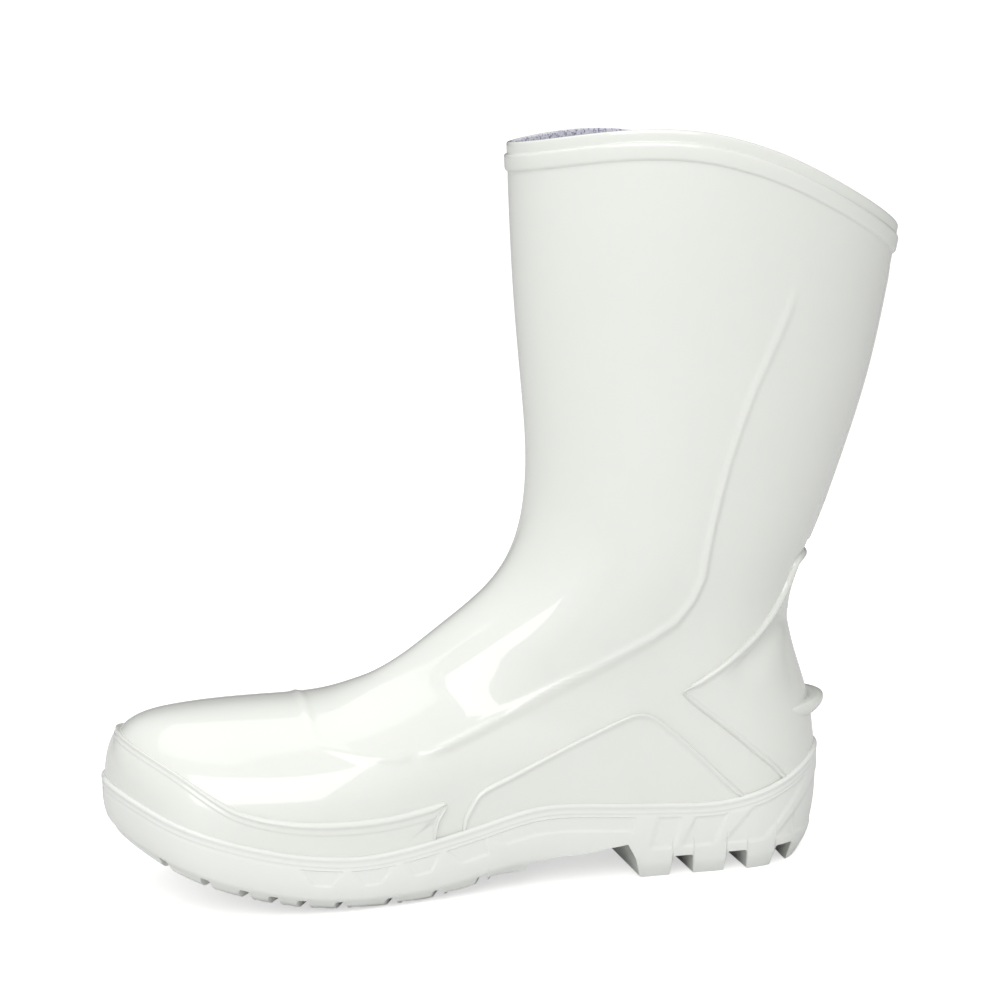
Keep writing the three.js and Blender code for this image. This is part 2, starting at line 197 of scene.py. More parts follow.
# %% [markdown]
# A table becomes a smooth curve as a cubic B-spline through its neighbourhood, the same curve
# that the CAD uses. A table that rises along its first column can also be read by that column,
# as a function: the outsole's edge height for a place along the foot, for example.


# %% Smooth curves from tables
SAMPLES_PER_ROW = 40


def mix(a, b, t):
    return a + (b - a) * t


def smooth(low, high, value):
    """Rises from 0 at low to 1 at high, level at both. It falls instead where low is the greater."""
    t = np.clip((value - low) / (high - low), 0, 1)
    return t * t * (3 - 2 * t)


def quarter(t, power=2.0):
    """Rises from 0 to 1 as a quarter of an ellipse, or of a squarer curve where power is over 2."""
    return (1 - (1 - np.clip(t, 0, 1)) ** power) ** (1 / power)


def blend(table, at):
    """A cubic B-spline by a table's rows, which starts and ends on the end rows."""
    before, after = 2 * table[0] - table[1], 2 * table[-1] - table[-2]
    rows = np.vstack([before, table, after])
    s = np.clip(np.asarray(at, float), 0, len(table) - 1)
    i = np.minimum(s.astype(int), len(table) - 2)
    t = (s - i)[..., None]
    weights = (1 - t) ** 3, 3 * t**3 - 6 * t**2 + 4, -3 * t**3 + 3 * t**2 + 3 * t + 1, t**3
    return sum(weight * rows[i + k] for k, weight in enumerate(weights)) / 6


def read_by(table):
    """A table as a function of its first column: it returns the other columns, one array each."""
    samples = blend(table, np.linspace(0, len(table) - 1, SAMPLES_PER_ROW * len(table) + 1))

    def read(value):
        return [np.interp(value, samples[:, 0], column) for column in samples[:, 1:].T]

    return read


plan, leg, collar, sole = read_by(PLAN), read_by(LEG), read_by(COLLAR), read_by(SOLE)
print("outsole's edge at mid foot in mm:", float(up(sole(0.5)[0])))


# %% [markdown]
# The skin of the boot. A station says which section, from 0 at the collar to the toe's tip. A
# turn says where round the section: 0 is the front line, 0.5 the inner side, 1 the back or bottom
# line, and -0.5 the outer side, which faces the camera. Grow moves the point off the skin, in mm:
# up to the top of a bead, or down through the wall to the lining.


# %% The skin of the boot
BACK_SAMPLES = 401
HALVINGS = 36


def lines(station, grow):
    """Front and back points of a section in the side view, moved outwards, with its reach and bulge."""
    here = blend(SECTIONS, station)
    way = blend(SECTIONS, np.asarray(station) + 0.05) - blend(SECTIONS, np.asarray(station) - 0.05)
    points = []
    for first, side in ((0, 1), (2, -1)):
        x, z = here[..., first] * FOOT_LENGTH, up(here[..., first + 1])
        scale = np.where(here[..., first + 1] < 1, ANKLE_HEIGHT, SHAFT_HEIGHT)
        dx, dz = way[..., first] * FOOT_LENGTH, way[..., first + 1] * scale
        length = np.hypot(dx, dz)
        points.append((x + side * grow * dz / length, z - side * grow * dx / length))
    return points[0], points[1], here[..., 4], here[..., 5]


BACK_LINES = {grow: lines(np.linspace(HEEL_CORNER, 0, BACK_SAMPLES), grow)[1] for grow in (0, 1)}


def back_at(z, grow):
    """Where the back line is at a height, for a form moved outwards by grow."""
    base, grown = [np.interp(z, BACK_LINES[g][1], BACK_LINES[g][0]) for g in (0, 1)]
    return base + grow * (grown - base)


def boot(station, turn, grow=0.0):
    """Points of the skin in mm, as an array with x, y and z last."""
    station, turn, grow = np.broadcast_arrays(*(np.asarray(v, float) for v in (station, turn, grow)))
    share = (1 - np.cos(np.pi * turn)) / 2
    side = np.where(np.sin(np.pi * turn) < 0, -1.0, 1.0)
    front, back, reach, bulge = lines(station, grow)
    x, z = mix(front[0], back[0], share), mix(front[1], back[1], share)
    h = height_share(z)
    outer, inner = plan(x / FOOT_LENGTH)
    half_leg, back_round = leg(h)
    # From foot to leg the width passes from the plan to the leg's own, and the foot's sides lean in.
    rise = smooth(0.3, 0.9, h)
    lean = 1 - 0.1 * smooth(0.2, 0.67, h) * (1 - rise)
    middle = (inner - outer) / 2 * BALL_WIDTH * (1 - rise)
    half = mix((outer + inner) / 2 * BALL_WIDTH, half_leg * CALF_WIDTH, rise) * lean + grow
    behind = np.where((station <= HEEL_CORNER) & (share > 0.999999), 0, back_at(z, grow) - x)
    rounded = quarter(behind / (back_round * FOOT_LENGTH + grow))
    y = middle + side * half * quarter(share * reach, bulge) * rounded
    return np.stack([x, y, z], -1)


def station_turn(x, z):
    """The station and the turn of points seen from the side, found by halving, and their share across."""
    low, high = np.zeros_like(x), np.full_like(x, LAST_STATION - 0.01)
    for _ in range(HALVINGS):
        station = (low + high) / 2
        front, back, _, _ = lines(station, 0)
        wx, wz = back[0] - front[0], back[1] - front[1]
        later = wx * (z - front[1]) - wz * (x - front[0]) < 0
        low, high = np.where(later, station, low), np.where(later, high, station)
    share = ((x - front[0]) * wx + (z - front[1]) * wz) / (wx**2 + wz**2)
    return station, np.arccos(1 - 2 * np.clip(share, 0, 1)) / np.pi, share


skin_check = boot(np.linspace(0, LAST_STATION, 50)[:, None], np.linspace(-1, 1, 60)[None, :])
print("skin from", skin_check.min((0, 1)).round(1), "to", skin_check.max((0, 1)).round(1))

# %% [markdown]
# Each piece is made as rows of points across its surface, which become a mesh of quads. Rows that
# close on themselves make a tube or a loop, and rows that shrink to a point make a closed end.
# Points that fall together are merged, and edges that turn sharply are marked, so that a lug
# keeps its crisp corner while the skin shades smoothly.


# %% Meshes from rows of points
MERGE_WITHIN = 0.002 * MM
SHORTEST_EDGE = 0.001 * MM


def grid_faces(rows, columns, closed_rows, closed_columns):
    """Quads between neighbours, as indices into the points taken row by row."""
    i = np.arange(rows if closed_rows else rows - 1)[:, None]
    j = np.arange(columns if closed_columns else columns - 1)[None, :]
    below, right = (i + 1) % rows, (j + 1) % columns
    corners = [i * columns + j, below * columns + j, below * columns + right, i * columns + right]
    return np.stack([np.broadcast_to(corner, (i.size, j.size)) for corner in corners], -1).reshape(-1, 4)


def tidy_mesh(mesh, crease_angle):
    """Merges points that fall together, turns the faces outwards and marks the sharp edges."""
    made = bmesh.new()
    made.from_mesh(mesh)
    bmesh.ops.remove_doubles(made, verts=made.verts, dist=MERGE_WITHIN)
    bmesh.ops.dissolve_degenerate(made, edges=made.edges, dist=SHORTEST_EDGE)
    bmesh.ops.recalc_face_normals(made, faces=made.faces)
    for face in made.faces:
        face.smooth = True
    made.to_mesh(mesh)
    made.free()
    if crease_angle:
        mesh.set_sharp_from_angle(angle=math.radians(crease_angle))


def make_piece(name, points, closed_rows=False, closed_columns=False, caps=False, crease_angle=None):
    """An object from rows of points in mm, set in the frame in metres."""
    rows, columns, _ = points.shape
    faces = [tuple(face) for face in grid_faces(rows, columns, closed_rows, closed_columns).tolist()]
    if caps:
        faces.append(tuple(range(columns)))
        faces.append(tuple(reversed(range((rows - 1) * columns, rows * columns))))
    placed = (points.reshape(-1, 3) + TOE_IN_FRAME) * MM
    mesh = bpy.data.meshes.new(name)
    mesh.from_pydata(placed.tolist(), [], faces)
    tidy_mesh(mesh, crease_angle)
    piece = bpy.data.objects.new(name, mesh)
    bpy.context.scene.collection.objects.link(piece)
    triangles = sum(len(polygon.vertices) - 2 for polygon in mesh.polygons)
    print(name, "has", triangles, "triangles and is", [round(v / MM, 1) for v in piece.dimensions], "mm")
    return piece


# %% [markdown]
# On the real boot a soft raised line runs down the side of the leg, turns forward under the ankle
# and ends at the toe cap, and the toe cap's own line crosses the instep. They are slight, about a
# millimetre high. Behind the heel counter's lip there is a soft crease as well, a couple of
# millimetres deep. Bump in a material could hint at them, but their outline would stay smooth, so
# the skin itself is moved. Each is a line seen from the side, with a height or depth and a width
# at its two ends in mm. Points are shares: along, up.


# %% The soft lines of the upper
SIDE_RIDGE = np.array([
    [0.926, 1.61], [0.896, 1.475], [0.8635, 1.345], [0.845, 1.25], [0.830, 1.159], [0.8185, 1.07],
    [0.8085, 0.983], [0.802, 0.91], [0.797, 0.844], [0.783, 0.779], [0.760, 0.721], [0.725, 0.676],
    [0.684, 0.635], [0.645, 0.597], [0.606, 0.563], [0.56, 0.518], [0.513, 0.476], [0.48, 0.451],
    [0.449, 0.430], [0.42, 0.413], [0.395, 0.403],
])
TOE_CAP_LINE = np.array([
    [0.270, 0.56], [0.2665, 0.52], [0.266, 0.483], [0.268, 0.462], [0.276, 0.447], [0.291, 0.436],
    [0.315, 0.422], [0.341, 0.411], [0.365, 0.406], [0.39, 0.405],
])
COUNTER_CREASE = np.array([
    [0.938, 0.73], [0.925, 0.695], [0.906, 0.662], [0.892, 0.637], [0.872, 0.605], [0.848, 0.57],
    [0.82, 0.528],
])
RIDGE_HEIGHTS, RIDGE_WIDTHS = (1.0, 1.4), (1.2, 1.7)
CAP_HEIGHTS, CAP_WIDTHS = (0.6, 0.65), (1.3, 1.6)
CREASE_DEPTHS, CREASE_WIDTHS = (2.6, 1.8), (1.8, 3.0)
CREASE_SPREAD = 3.4
COUNTER_COVER = 0.6
STEP_DEPTH = 0.6
STEP_START, STEP_END = 8, 26


def in_side_view(rows):
    """A table of shares in mm, as seen from the side."""
    return np.stack([rows[:, 0] * FOOT_LENGTH, up(rows[:, 1])], -1)


def near_line(x, z, rows):
    """How far points are from a line seen from the side, signed, and how far along it, from 0 to 1."""
    line = in_side_view(rows)
    lengths = np.hypot(*np.diff(line, axis=0).T)
    starts = np.concatenate([[0], np.cumsum(lengths)])
    best = np.full(x.shape, 1e9)
    sign = np.ones(x.shape)
    place = np.zeros(x.shape)
    for k, (a, b) in enumerate(zip(line[:-1], line[1:])):
        way = (b - a) / lengths[k]
        t = np.clip((x - a[0]) * way[0] + (z - a[1]) * way[1], 0, lengths[k])
        dx, dz = x - a[0] - t * way[0], z - a[1] - t * way[1]
        distance = np.hypot(dx, dz)
        closer = distance < best
        best = np.where(closer, distance, best)
        sign = np.where(closer, np.sign(way[0] * dz - way[1] * dx), sign)
        place = np.where(closer, (starts[k] + t) / starts[-1], place)
    return best, sign, place


def soft_ridge(x, z, rows, heights, widths, fade=0.06):
    """A rounded ridge along a line, which fades in and out over a share of its length."""
    distance, _, place = near_line(x, z, rows)
    ends = smooth(0, fade, place) * smooth(1, 1 - fade, place)
    return mix(*heights, place) * ends * np.exp(-((distance / mix(*widths, place)) ** 2))


def counter_relief(x, z):
    """The soft crease behind the counter's lip: steep on the lip's side, gentle towards the heel."""
    distance, sign, place = near_line(x, z, COUNTER_CREASE)
    width = mix(*CREASE_WIDTHS, place) * np.where(sign > 0, CREASE_SPREAD, 1.0)
    depth = mix(*CREASE_DEPTHS, place) * smooth(0, 0.12, place) * smooth(1, 0.6, place)
    return -depth * np.exp(-((distance / width) ** 2))


def upper_relief(x, z):
    """How far the skin of the upper stands out at places seen from the side."""
    ridge = soft_ridge(x, z, SIDE_RIDGE, RIDGE_HEIGHTS, RIDGE_WIDTHS)
    cap = soft_ridge(x, z, TOE_CAP_LINE, CAP_HEIGHTS, CAP_WIDTHS, fade=0.03)
    distance, sign, place = near_line(x, z, SIDE_RIDGE)
    # Below the ankle the skin steps down behind the ridge and then rises slowly to its own level.
    behind = np.where(sign > 0, 1.0, 0.0) * smooth(0.25, 0.5, place) * smooth(1, 0.8, place)
    step = STEP_DEPTH * behind * smooth(0, 2.5, distance) * (1 - smooth(STEP_START, STEP_END, distance))
    # Under the counter's crease the shell drops too, or it would show through the trough.
    under_crease = np.minimum(0, COUNTER_COVER + counter_relief(x, z))
    return ridge + cap - step + under_crease


ridge_in_mm = in_side_view(SIDE_RIDGE)
print("the side ridge runs from", ridge_in_mm[0].round(1), "to", ridge_in_mm[-1].round(1))


# %% [markdown]
# The upper's shell is moulded PVC about 2.4 mm thick, open at the collar. It is made as one
# closed skin: up the inside from the toe, over the rim, and down the outside. The first rows
# under the rim follow the collar's own dipped curve instead of the sections, so that the lip and
# the rounded bead below it come out as clean parallel bands. Down is mm below the rim.

# %% The collar's profile and the shell
RIM_PROFILE = np.array([
    [3.0, -2.4], [1.2, -2.4], [0.45, -2.25], [0.1, -1.9], [0.0, -1.4], [0.0, -0.9], [0.12, -0.42],
    [0.4, -0.12], [0.9, 0.0], [1.8, 0.05], [3.2, 0.05], [4.3, 0.0], [4.75, 0.02], [4.95, 0.25],
    [5.05, 0.6], [5.25, 0.95], [5.6, 1.15], [6.2, 1.22], [7.4, 1.22], [9.0, 1.2], [10.4, 1.15],
    [11.1, 1.02], [11.6, 0.72], [11.9, 0.35], [12.1, 0.08], [12.5, -0.05], [13.4, -0.08], [14.6, 0.0],
])
SHELL_COLUMNS = 240
SIDE_CLOSENESS = 0.5
SHELL_ROWS = 270
INSIDE_ROWS = 50
WALK_STEPS = 900


def collar_walk(turns):
    """A function that gives, for each turn, the station some mm below the collar along the skin."""
    stations = np.linspace(0, LAST_STATION, WALK_STEPS + 1)
    path = boot(stations[:, None], turns[None, :])
    over = path[..., 2] - up(collar(path[..., 0] / FOOT_LENGTH)[0])
    lengths = np.linalg.norm(np.diff(path, axis=0), axis=-1)
    walked = np.vstack([np.zeros(len(turns)), np.cumsum(lengths, axis=0)])
    starts = []
    for column in range(len(turns)):
        first = int(np.argmax(over[:, column] < 0))
        a, b = over[first - 1, column], over[first, column]
        starts.append(mix(walked[first - 1, column], walked[first, column], a / (a - b)))
    starts = np.array(starts)

    def station_at(down, share_left=0.0):
        """The stations at a distance below the collar, plus a share of what is left to the toe's tip."""
        left = walked[-1] - starts - down
        target = starts + down + share_left * left
        return np.array([np.interp(t, walked[:, k], stations) for k, t in enumerate(target)])

    return station_at


def shell_turns(columns):
    """Turns round the boot, set closer together along its sides, where the soft lines run."""
    even = np.linspace(-1, 1, columns, endpoint=False)
    return even + SIDE_CLOSENESS * np.sin(2 * np.pi * even) / (2 * np.pi)


def down_the_boot(station_at, turns, grow, start, count, relief=None):
    """Rows of points from some mm below the collar to the toe's tip."""
    rows = []
    for share_left in np.linspace(0, 1, count + 1)[1:]:
        station = station_at(start, share_left)
        out = grow
        if relief:
            seen = boot(station, turns)
            out = grow + relief(seen[:, 0], seen[:, 2])
        rows.append(boot(station, turns, out))
    return rows


def make_shell():
    """The upper's wall as one skin, up its inside, over the rim and down its outside."""
    turns = shell_turns(SHELL_COLUMNS)
    station_at = collar_walk(turns)
    first, last = RIM_PROFILE[0, 0], RIM_PROFILE[-1, 0]
    inside = down_the_boot(station_at, turns, -WALL, first, INSIDE_ROWS)
    rim = [boot(station_at(down), turns, grow) for down, grow in RIM_PROFILE]
    outside = down_the_boot(station_at, turns, 0.0, last, SHELL_ROWS, upper_relief)
    return make_piece("upper_shell", np.array(inside[::-1] + rim + outside), closed_columns=True)


shell = make_shell()

# %% [markdown]
# The toe guard, the side panels and the heel counter are thicker layers that the mould gives the
# upper. Their edges are crisp, with a raised lip, so a moved grid would make them ragged. Each is
# made instead as its own closed layer. That starts with curves that lie on the skin: a table of
# points seen from the side becomes a smooth line, and each of its points gets a station and turn.


# %% Curves laid on the skin
def through(rows, per_row=14):
    """A smooth curve that passes through every row of a table of shares, in mm seen from the side."""
    points = in_side_view(rows)
    ends = np.vstack([2 * points[0] - points[1], points, 2 * points[-1] - points[-2]])
    t = np.linspace(0, 1, per_row, endpoint=False)[:, None]
    curve = []
    for a, b, c, d in zip(ends[:-3], ends[1:-2], ends[2:-1], ends[3:]):
        bend = (2 * b) + (c - a) * t + (2 * a - 5 * b + 4 * c - d) * t**2 + (3 * b - a - 3 * c + d) * t**3
        curve.append(bend / 2)
    return np.vstack([*curve, points[-1:]])


def laid_on_skin(points):
    """A curve seen from the side as stations and turns, cut where it leaves the boot's outline."""
    station, turn, share = station_turn(points[:, 0], points[:, 1])
    inside = (share > 0) & (share < 1)
    kept = np.flatnonzero(inside)
    laid = np.stack([station, turn], -1)[kept]
    for index, step in ((kept[0], -1), (kept[-1], 1)):
        beyond = index + step
        if 0 <= beyond < len(points):
            edge = 0.0 if share[beyond] <= 0 else 1.0
            t = (edge - share[index]) / (share[beyond] - share[index])
            crossing = [[mix(station[index], station[beyond], t), edge]]
            laid = np.vstack([crossing, laid] if step < 0 else [laid, crossing])
    return laid


def resampled(curve, count):
    """The same curve of stations and turns with points evenly spaced along the skin."""
    places = boot(curve[:, 0], curve[:, 1])
    walked = np.concatenate([[0], np.cumsum(np.linalg.norm(np.diff(places, axis=0), axis=-1))])
    target = np.linspace(0, walked[-1], count)
    return np.stack([np.interp(target, walked, column) for column in curve.T], -1)


def length_of(curve):
    """The length in mm of a curve on the skin."""
    return np.linalg.norm(np.diff(boot(curve[:, 0], curve[:, 1]), axis=0), axis=-1).sum()


def both_sides(curve, around_back=False):
    """A curve that starts on the middle line, joined to its mirror image: outer side first."""
    other = curve.copy()
    other[:, 1] = 2 - other[:, 1] if around_back else -other[:, 1]
    return np.vstack([other[::-1], curve[1:]])


def sole_line(start, end, drop, count=160):
    """The line on the skin that lies a little under the outsole's top edge, between two shares along."""
    x = np.linspace(start, end, count) * FOOT_LENGTH
    return laid_on_skin(np.stack([x, up(sole(x / FOOT_LENGTH)[0]) - drop], -1))


print("the outsole's edge is", round(float(length_of(sole_line(0, 1, 0))), 1), "mm long on one side")

# %% [markdown]
# A lip has to keep its width in mm wherever it runs, but stations and turns aren't millimetres:
# the same step of a turn is wide on the calf and narrow at the toe. So a row of the lip is first
# set off from the edge in space, square to it, and each of its points is then slid to the nearest
# point of the skin. Newton's method does that in four rounds, from how the skin moves with a
# small change of station or turn.

# %% Sliding along the skin
SMALL_STEP = 1e-3


def skin_ways(at):
    """How points of the skin move, in mm, for a change of their station and of their turn."""
    small = SMALL_STEP
    station, turn = at.T
    by_station = (boot(station + small, turn) - boot(station - small, turn)) / (2 * small)
    by_turn = (boot(station, turn + small) - boot(station, turn - small)) / (2 * small)
    return by_station, by_turn


def slid(at, targets, rounds=4):
    """Stations and turns of the skin's points nearest to targets in mm, found by Newton's method."""
    for _ in range(rounds):
        left = targets - boot(*at.T)
        s, t = skin_ways(at)
        ss, st, tt = [np.sum(u * v, -1) for u, v in ((s, s), (s, t), (t, t))]
        ls, lt = np.sum(s * left, -1), np.sum(t * left, -1)
        det = ss * tt - st * st
        at = at + np.stack([(ls * tt - lt * st) / det, (lt * ss - ls * st) / det], -1)
    return at


def ways_inward(edge, base):
    """Unit vectors along the skin, square to the edge and pointing to the base curve."""
    here = boot(*edge.T)
    inward = np.cross(np.cross(*skin_ways(edge)), np.gradient(here, axis=0))
    inward /= np.linalg.norm(inward, axis=-1, keepdims=True)
    return inward * np.sign(np.sum(inward * (boot(*base.T) - here)))


def evened(values, reach):
    """A moving average along the first axis, which keeps the ends."""
    weights = np.hanning(2 * reach + 3)[1:-1]
    padded = np.vstack([np.repeat(values[:1], reach, 0), values, np.repeat(values[-1:], reach, 0)])
    return np.stack([np.convolve(column, weights / weights.sum(), "valid") for column in padded.T], -1)


# %% [markdown]
# A layer is then rows of points between its edge curve and a base curve: the lip's rows at their
# own millimetres, rows that blend over to the base, which lies hidden behind the outsole's bead,
# and an underside that is sunk into the shell's wall. The lip narrows where the layer is narrow,
# so that two lips never cross.

# %% A layer with a lip
SUNK = -1.0
LAYER_PITCH = 0.9
LIP_SHARE = 2.2
EDGE_REACH, LIP_REACH = 2, 9
LEAST_WIDTH = 1e-9


def lip_rows(edge, other, profile, spread):
    """Rows of a lip along an edge, each as its stations and turns and its mm out."""
    here = boot(*edge.T)
    inward = evened(ways_inward(edge, other), LIP_REACH)
    widths = np.linalg.norm(boot(*other.T) - here, axis=-1)
    reach = np.minimum(1, widths / max(LIP_SHARE * profile[-1, 0], LEAST_WIDTH)) * spread
    rows = []
    at = edge
    for width, out in profile:
        at = slid(at, here + (reach * width)[:, None] * inward)
        rows.append((at, out))
    return rows


def make_layer(name, edge, base, profile, base_profile=None, relief=None, spread=None, rows=16, sunk=SUNK):
    """A closed layer between an edge curve and a base curve, with a lip given as mm inwards and mm out."""
    edge = np.vstack([base[:1], edge, base[-1:]])
    count = int(max(length_of(edge), length_of(base)) / LAYER_PITCH)
    edge, base = resampled(edge, count), resampled(base, count)
    edge, base = evened(edge, EDGE_REACH), evened(base, EDGE_REACH)
    if base_profile is None:
        base_profile = np.array([[0.0, profile[-1, 1]]])
    across = np.ones(count) if spread is None else spread(np.linspace(0, 1, count))
    made = lip_rows(edge, base, profile, across)
    far = lip_rows(base, edge, base_profile, across)[::-1]
    (last, last_out), (first, first_out) = made[-1], far[0]
    for t in np.linspace(0, 1, rows + 1)[1:-1]:
        target = mix(boot(*last.T), boot(*first.T), t)
        made.append((slid(mix(last, first, t), target), mix(last_out, first_out, t)))
    made += far
    layer = []
    for curve, out in made:
        lift = np.full(count, float(out))
        if relief:
            seen = boot(*curve.T)
            lift = lift + relief(seen[:, 0], seen[:, 2]) * smooth(0, 1, out)
        layer.append(boot(curve[:, 0], curve[:, 1], lift))
    # The underside goes back from the base to the edge, sunk in the wall.
    for t in np.linspace(1, 0, rows + 1):
        under = mix(made[0][0], base, t)
        layer.append(boot(under[:, 0], under[:, 1], sunk))
    return make_piece(name, np.array(layer).swapaxes(0, 1), closed_columns=True, caps=True)


# %% [markdown]
# The toe guard wraps the toe from one side to the other and stands about a millimetre proud. Its
# upper edge has a rounded lip that catches the light, a shallow groove under it and a second,
# finer line. At its rear end it drops straight to the sole. A lip's table is mm in from the edge
# and mm out from the skin.

# %% The toe guard
GUARD = np.array([
    [-0.03, 0.515], [0.0, 0.49], [0.03, 0.462], [0.083, 0.403], [0.146, 0.32], [0.18, 0.292],
    [0.215, 0.275], [0.25, 0.264], [0.29, 0.259], [0.33, 0.258], [0.367, 0.262], [0.4, 0.271],
    [0.424, 0.279], [0.4345, 0.282], [0.437, 0.277], [0.433, 0.262], [0.424, 0.235], [0.419, 0.2],
])
GUARD_LIP = np.array([
    [0.0, -1.0], [0.0, 0.0], [0.05, 0.6], [0.25, 1.2], [0.65, 1.65], [1.15, 1.8], [1.65, 1.66], [2.1, 1.35],
    [2.6, 1.12], [3.2, 1.1], [3.9, 1.2], [4.5, 1.24], [4.9, 1.1], [5.2, 0.92], [5.7, 0.88], [6.5, 0.95],
])
UNDER_BEAD = 3.0


def guard_spread(place):
    """The lip is narrower round the toe's tip, at the middle of the edge, and down its two rear ends."""
    from_tip = np.abs(place - 0.5)
    return mix(0.62, 1.0, smooth(0.1, 0.36, from_tip)) * mix(1.0, 0.35, smooth(0.425, 0.46, from_tip))


guard_edge = laid_on_skin(through(GUARD))
guard_base = sole_line(-0.03, 0.413, UNDER_BEAD)
guard = make_layer("toe_guard", both_sides(guard_edge), both_sides(guard_base), GUARD_LIP,
                   spread=guard_spread)

# %% [markdown]
# A low panel braces each side between the ball and the heel. From the side it is a long triangle
# with a rounded front, a thin bright edge and a blunt top.

# %% The side panels
PANEL = np.array([
    [0.457, 0.205], [0.459, 0.23], [0.465, 0.252], [0.473, 0.277], [0.482, 0.296], [0.497, 0.311],
    [0.53, 0.335], [0.58, 0.375], [0.63, 0.415], [0.67, 0.446], [0.69, 0.4605], [0.703, 0.468],
    [0.716, 0.468], [0.728, 0.46], [0.742, 0.441], [0.765, 0.399], [0.79, 0.351], [0.82, 0.293],
    [0.845, 0.245], [0.862, 0.21],
])
PANEL_LIP = np.array([
    [0.0, -1.0], [0.0, 0.0], [0.05, 0.6], [0.25, 1.15], [0.65, 1.5], [1.1, 1.55], [1.55, 1.35], [2.0, 1.0],
    [2.6, 0.75], [3.4, 0.7],
])
panel_edge = laid_on_skin(through(PANEL))
panel_base = sole_line(0.455, 0.868, UNDER_BEAD)
for side, turned in (("outer", -1), ("inner", 1)):
    flip = np.array([1, turned])
    make_layer("side_panel_" + side, panel_edge * flip, panel_base * flip, PANEL_LIP)

# %% [markdown]
# The heel counter stiffens the back. Its front edge is a bold lip that climbs to a blunt tip at
# the back of the heel, its lower edge is finer, and behind the lip a soft crease widens and fades
# as it runs down. The two sides join over the back, so one layer goes all the way round. Its
# underside lies deeper than the others', because the crease cuts into the shell.

# %% The heel counter
COUNTER = np.array([
    [1.03, 0.885], [0.975, 0.872], [0.951, 0.853], [0.942, 0.82], [0.932, 0.779], [0.912, 0.727],
    [0.885, 0.676], [0.855, 0.632], [0.826, 0.592], [0.797, 0.556], [0.778, 0.532], [0.7715, 0.52],
    [0.7735, 0.509], [0.785, 0.485], [0.81, 0.442], [0.84, 0.391], [0.87, 0.336], [0.9, 0.283],
    [0.915, 0.25],
])
COUNTER_LIP = np.array([
    [0.0, -1.0], [0.0, 0.0], [0.05, 0.7], [0.25, 1.35], [0.7, 1.9], [1.3, 2.1], [1.9, 1.95], [2.5, 1.5],
    [3.1, 1.1], [3.8, 0.95], [4.6, 0.95],
])
LOWER_LIP = np.array([
    [0.0, -1.0], [0.0, 0.0], [0.05, 0.55], [0.25, 1.05], [0.6, 1.35], [1.0, 1.4], [1.4, 1.25], [1.8, 1.0],
    [2.4, 0.85],
])
COUNTER_ROWS = 80
COUNTER_SUNK = -2.0

counter_line = laid_on_skin(through(COUNTER))
corner = int(np.argmin(boot(*counter_line.T)[:, 0]))
counter_edge, lower_edge = counter_line[:corner + 1], counter_line[corner:]
counter_base = np.vstack([sole_line(1.02, 0.925, UNDER_BEAD), lower_edge[::-1]])
counter = make_layer("heel_counter", both_sides(counter_edge, True), both_sides(counter_base, True),
                     COUNTER_LIP, LOWER_LIP, relief=counter_relief, rows=COUNTER_ROWS,
                     sunk=COUNTER_SUNK)

# %% [markdown]
# A narrow rib runs down the back of the leg where the two halves of the mould meet. It fades in
# at its top and stops in a rounded end just above the counter. It is a strip of cross sections,
# each a squarish arch, whose width in mm is turned into turns at its own height.

# %% The back rib
RIB_WIDTH = 4.5
RIB_HEIGHT = 2.8
RIB_TOP, RIB_FOOT = 1.68, 0.905
RIB_ACROSS, RIB_ROWS, RIB_END_ROWS = 17, 90, 12
RIB_SQUARENESS = 3.6
NARROWEST = 0.02
HALF_TURN = 0.01
BACK_STATIONS = 800


def back_station(height):
    """The station whose back line is at a height in mm."""
    stations = np.linspace(HEEL_CORNER, 0, BACK_STATIONS)
    return np.interp(height, lines(stations, 0)[1][1], stations)


def make_rib():
    """Cross sections down the leg's back, each an arch above the skin and a line sunk under it."""
    across = np.linspace(-1, 1, RIB_ACROSS)
    last = np.linspace(0, np.pi / 2, RIB_END_ROWS)[1:]
    heights = np.concatenate([
        np.linspace(up(RIB_TOP), up(RIB_FOOT), RIB_ROWS), up(RIB_FOOT) - RIB_WIDTH / 2 * np.sin(last)])
    shrink = np.concatenate([
        smooth(-2, 12, np.arange(RIB_ROWS)), np.maximum(np.cos(last), NARROWEST)])
    rows = []
    for height, narrow in zip(heights, shrink):
        station = back_station(height)
        reach = boot(station, 1 + HALF_TURN)[1] - boot(station, 1 - HALF_TURN)[1]
        turn = 1 + across * narrow * RIB_WIDTH / abs(reach) * HALF_TURN
        arch = quarter(1 - np.abs(across), RIB_SQUARENESS)
        out = mix(SUNK, RIB_HEIGHT, arch) * mix(0.7, 1, narrow)
        outer = boot(station, turn, out)
        inner = boot(station, turn[::-1][1:-1], SUNK)
        rows.append(np.vstack([outer, inner]))
    return make_piece("back_rib", np.array(rows), closed_columns=True, caps=True)


rib = make_rib()

# %% [markdown]
# The kick-off spur is a small shelf round the back of the heel, which the other foot holds down
# while the boot is pulled off. Seen from above it is a crescent: a narrow ellipse set behind the
# heel's own wider one. Its top is flat but droops towards the ends, and its rim is rounded. The
# profile runs from the root at 0 to the rim at 1 and from the top at 0 down to -1.

